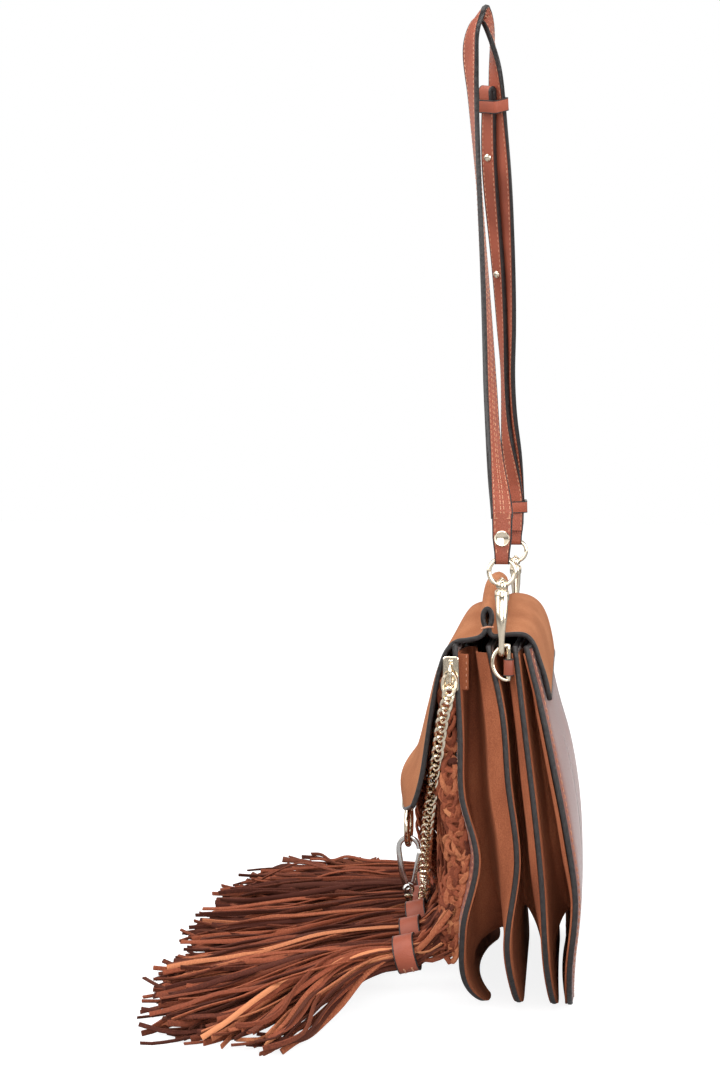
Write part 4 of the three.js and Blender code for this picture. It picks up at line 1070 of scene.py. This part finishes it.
def make_crochet():
    """Columns of lace chain, swags that swell under the flap, and a border of chain and loose loops."""
    piece = Piece("crochet_lace")
    z = np.linspace(CROCHET_LOW + 8, CROCHET_HIGH - 7, 60)
    for column in np.linspace(13 - CROCHET_HALF, CROCHET_HALF - 13, 16):
        x = column + 1.2 * np.sin(z / 17 + column)
        braid(piece, line(x, crochet_y(x, z) + 3.4, z), -Y_AXIS, 7.4, 4.6)
    z = np.linspace(50, 168, 40)
    swell = 13 * np.sin(np.linspace(0, np.pi, 40))
    for x in np.linspace(-58, 14, 6):
        braid(piece, line(x, crochet_y(x, z) + 2 - swell, z), -Y_AXIS, 7.4, 6.2)
    x = np.linspace(8 - CROCHET_HALF, CROCHET_HALF - 8, 60)
    for z, up in ((CROCHET_LOW + 3, -0.8), (CROCHET_HIGH - 3, 0.8)):
        braid(piece, line(x, crochet_y(x, z) + 4, z), (0, -0.6, up), 7.0, 5.2)
    for side in (-1, 1):
        x = side * (CROCHET_HALF - 2.5)
        z = np.linspace(CROCHET_HIGH - 4, CROCHET_LOW + 4, 50)
        border = line(x, crochet_y(x, z) + 4.2, z)
        braid(piece, border, (side * 0.8, -0.6, 0), 7.0, 5.2)
        tangle(piece, border, (side * 0.85, -0.5, 0), 40, 3.0)
        x = side * (CROCHET_HALF + 2.5)
        z = np.linspace(152, CROCHET_LOW + 2, 40)
        rim = line(x, panel_face(x, z) - 4.2, z)
        braid(piece, rim, (side, -0.3, 0), 7.0, 4.4)
        tangle(piece, rim, (side, -0.2, 0), 40, 2.6)
    piece.ride([LACE], "crochet_panel", smooth_angle=50)


def make_band(label, centre):
    """Leather band round a tassel, with painted edges and two stitches where its ends meet."""
    def oval(angles, grow):
        return (centre + np.outer((BAND_HALF_WIDTH + grow) * np.cos(angles), X_AXIS)
                + np.outer((BAND_HALF_HEIGHT + grow) * np.sin(angles), BAND_UP))

    piece = Piece("band_" + label)
    ring = oval(np.linspace(0, 2 * np.pi, 44, endpoint=False), 0)
    edged(piece, ring, BAND_AXIS, (BAND_HALF_LENGTH, 0.75, 0.5), (0.45, 0.9, 0.4), BAND_HALF_LENGTH,
          closed=True)
    for along in (-2.4, 2.4):
        thread = oval(np.radians(np.linspace(-62, -34, 6)), 0.8) + BAND_AXIS * along
        piece.add(sweep(thread, circle(0.5, 8), BAND_AXIS), 2)
    piece.ride([STRAP, EDGE, THREAD], "tassel_band_" + label)


def make_fringe(label, centre):
    """Tassel of flat cut laces: gathered from the crochet's edge, through the band, fanned over the table."""
    piece = Piece("fringe_laces_" + label)
    x = centre[0]
    end = abs(x) == END_TASSEL_X
    laces = 125 if end else 84
    lean = math.radians(24 if x > 0 else 30) * x / END_TASSEL_X
    pile = 5.0 * max(-x / END_TASSEL_X, 0)
    fan = math.radians(26 if end else 15)
    start = 0.35 if end else 1.0
    # Painted shade: laces of the far tassels, towards -X, are painted darker
    shade = np.interp(x, [-END_TASSEL_X, 19, 57, END_TASSEL_X], [-0.08, -0.06, -0.04, 0.0])
    steps = np.array((0.08, 0.2, 0.36, 0.54, 0.72, 0.88, 1.0))
    top = np.interp(steps, [0, 0.3, 0.5, 0.75, 1], [32, 31, 27, 20, 14])
    settle = np.clip(steps / 0.45, 0, 1) ** 1.3

    def wave(low, high):
        """A sine along the lace, of a random length and start."""
        return np.sin(2 * np.pi * (rng.uniform(low, high) * steps + rng.uniform()))

    for lace_index in range(laces):
        # The lace's place in the tassel and its root in the crochet's edge
        angle = rng.uniform(0, 2 * np.pi)
        spread = math.sqrt(rng.uniform(0, 1))
        side, rise = spread * math.cos(angle), spread * math.sin(angle)
        tip_side = np.clip((1.5 if end else 0.95) * side + rng.normal(0, 0.34), -1.15, 1.15)
        root_x = x + 15 * side + rng.normal(0, 2)
        root_z = CROCHET_LOW + rng.uniform(2, 13)
        root_in = rng.uniform(-1.5, 2.5)
        if end and rng.uniform() < 0.55:
            root_x = math.copysign(rng.uniform(97, 112), x)
            root_z = CROCHET_LOW + rng.uniform(-3, 30)
            root_in = rng.uniform(0, 7)
        root = np.array((root_x, float(crochet_y(root_x, root_z)) + root_in, root_z))
        inside = 8.4 * side * X_AXIS + 8.0 * rise * BAND_UP
        entry = centre - BAND_AXIS * 7 + inside
        leave = centre + BAND_AXIS * 7 + inside
        sag = (root + entry) / 2 + (rng.normal(0, 1.2), -1.0, rng.normal(-1.0, 1.5))

        # Its way over the table
        outer = max(tip_side * math.copysign(1, x), 0) if end else 0
        reach = rng.normal(140, 9) - 18 * outer
        bow = rng.normal(0, 0.16) * np.sin(np.pi * steps) + rng.normal(0, 0.11) * np.sin(2 * np.pi * steps)
        opening = start * side + (tip_side - start * side) * np.minimum(steps * 1.2, 1)
        swing = lean * np.minimum(steps * 1.3, 1) + fan * (opening + bow)
        room = FRINGE_HALF - abs(leave[0]) - abs(rng.normal(0, 8))
        reach = min(reach, FRINGE_LONGEST, room / max(math.sin(abs(swing[-1])), 0.2))
        height = 0.5 + 0.5 * rise if rng.uniform() < 0.75 else (lace_index + 0.5) / laces
        ripple = wave(0.6, 1.5)
        lying = 1.2 + height * (top + pile) + np.abs(rng.normal(0, 1.2, len(steps)))
        lying += rng.normal(0, 1.7) * ripple
        z = leave[2] * (1 - settle) + lying * settle
        sway = np.clip(rng.normal(0, 6), -9, 9) * wave(0.5, 1.3)
        out_x = leave[0] + reach * steps * np.sin(swing) + sway * np.minimum(2.2 * steps, 1)
        out_y = leave[1] - reach * steps * np.cos(swing)
        z[-1] = max(z[-1] + rng.normal(0, 2.0), 1.0)
        path = spline(np.vstack([root, sag, entry, leave, line(out_x, out_y, np.maximum(z, 1.0))]), 30)
        path[:, 2] = np.maximum(path[:, 2], 1.9)

        # Its width, roll and tone: a random tone, with painted shade on laces low in the pile and on far
        # tassels, and painted light on an end tassel's outer laces
        width = rng.uniform(1.25, 1.85)
        roll = (rng.normal(0, 0.7) + rng.normal(0, 1.3) * np.linspace(0, 1, 30))[:, None]
        along = tangents(path)
        flat = square_to((1, 0.2, 0), along)
        face = flat * np.cos(roll) + np.cross(along, flat) * np.sin(roll)
        # Painted shade and light: 0.32 * height darkens laces low in the pile, 0.14 * outer lightens an end
        # tassel's outer laces
        tone = np.clip(shade + 0.32 * height + 0.14 * outer + rng.normal(0, 0.28), 0.0, 0.98)
        piece.add(sweep(path, FRINGE_SECTION * (width, 1), face), tone=tone)
    piece.ride([LACE], "fringe_" + label, smooth_angle=50)


make_crochet()
for tassel in range(TASSELS):
    middle = np.array((TASSEL_PITCH * (tassel - 2.5), BAND_Y, BAND_Z))
    make_band(str(tassel + 1), middle)
    make_fringe(str(tassel + 1), middle)


# Floor

def make_floor():
    """White table: bright to the camera, plain to everything else, with soft shadows."""
    mesh = bpy.data.meshes.new("floor")
    reach = 8.0
    corners = [(-reach, -reach, 0), (reach, -reach, 0), (reach, reach, 0), (-reach, reach, 0)]
    mesh.from_pydata(corners, [], [(0, 1, 2, 3)])
    floor = bpy.data.objects.new("floor", mesh)
    floor.location.z = -0.0005
    bpy.context.scene.collection.objects.link(floor)
    material, nodes, shader = new_material("white_table")
    seen = nodes.add("LightPath")["Is Camera Ray"]
    nodes.fill(shader, {
        "Base Color": (0.35, 0.35, 0.35, 1),
        "Roughness": 0.9,
        "Specular IOR Level": 0,
        "Emission Color": (1, 1, 1, 1),
        "Emission Strength": nodes.math("MULTIPLY", seen, 0.86),
    })
    mesh.materials.append(material)


make_floor()

scene = bpy.context.scene
scene.view_settings.view_transform = "Standard"
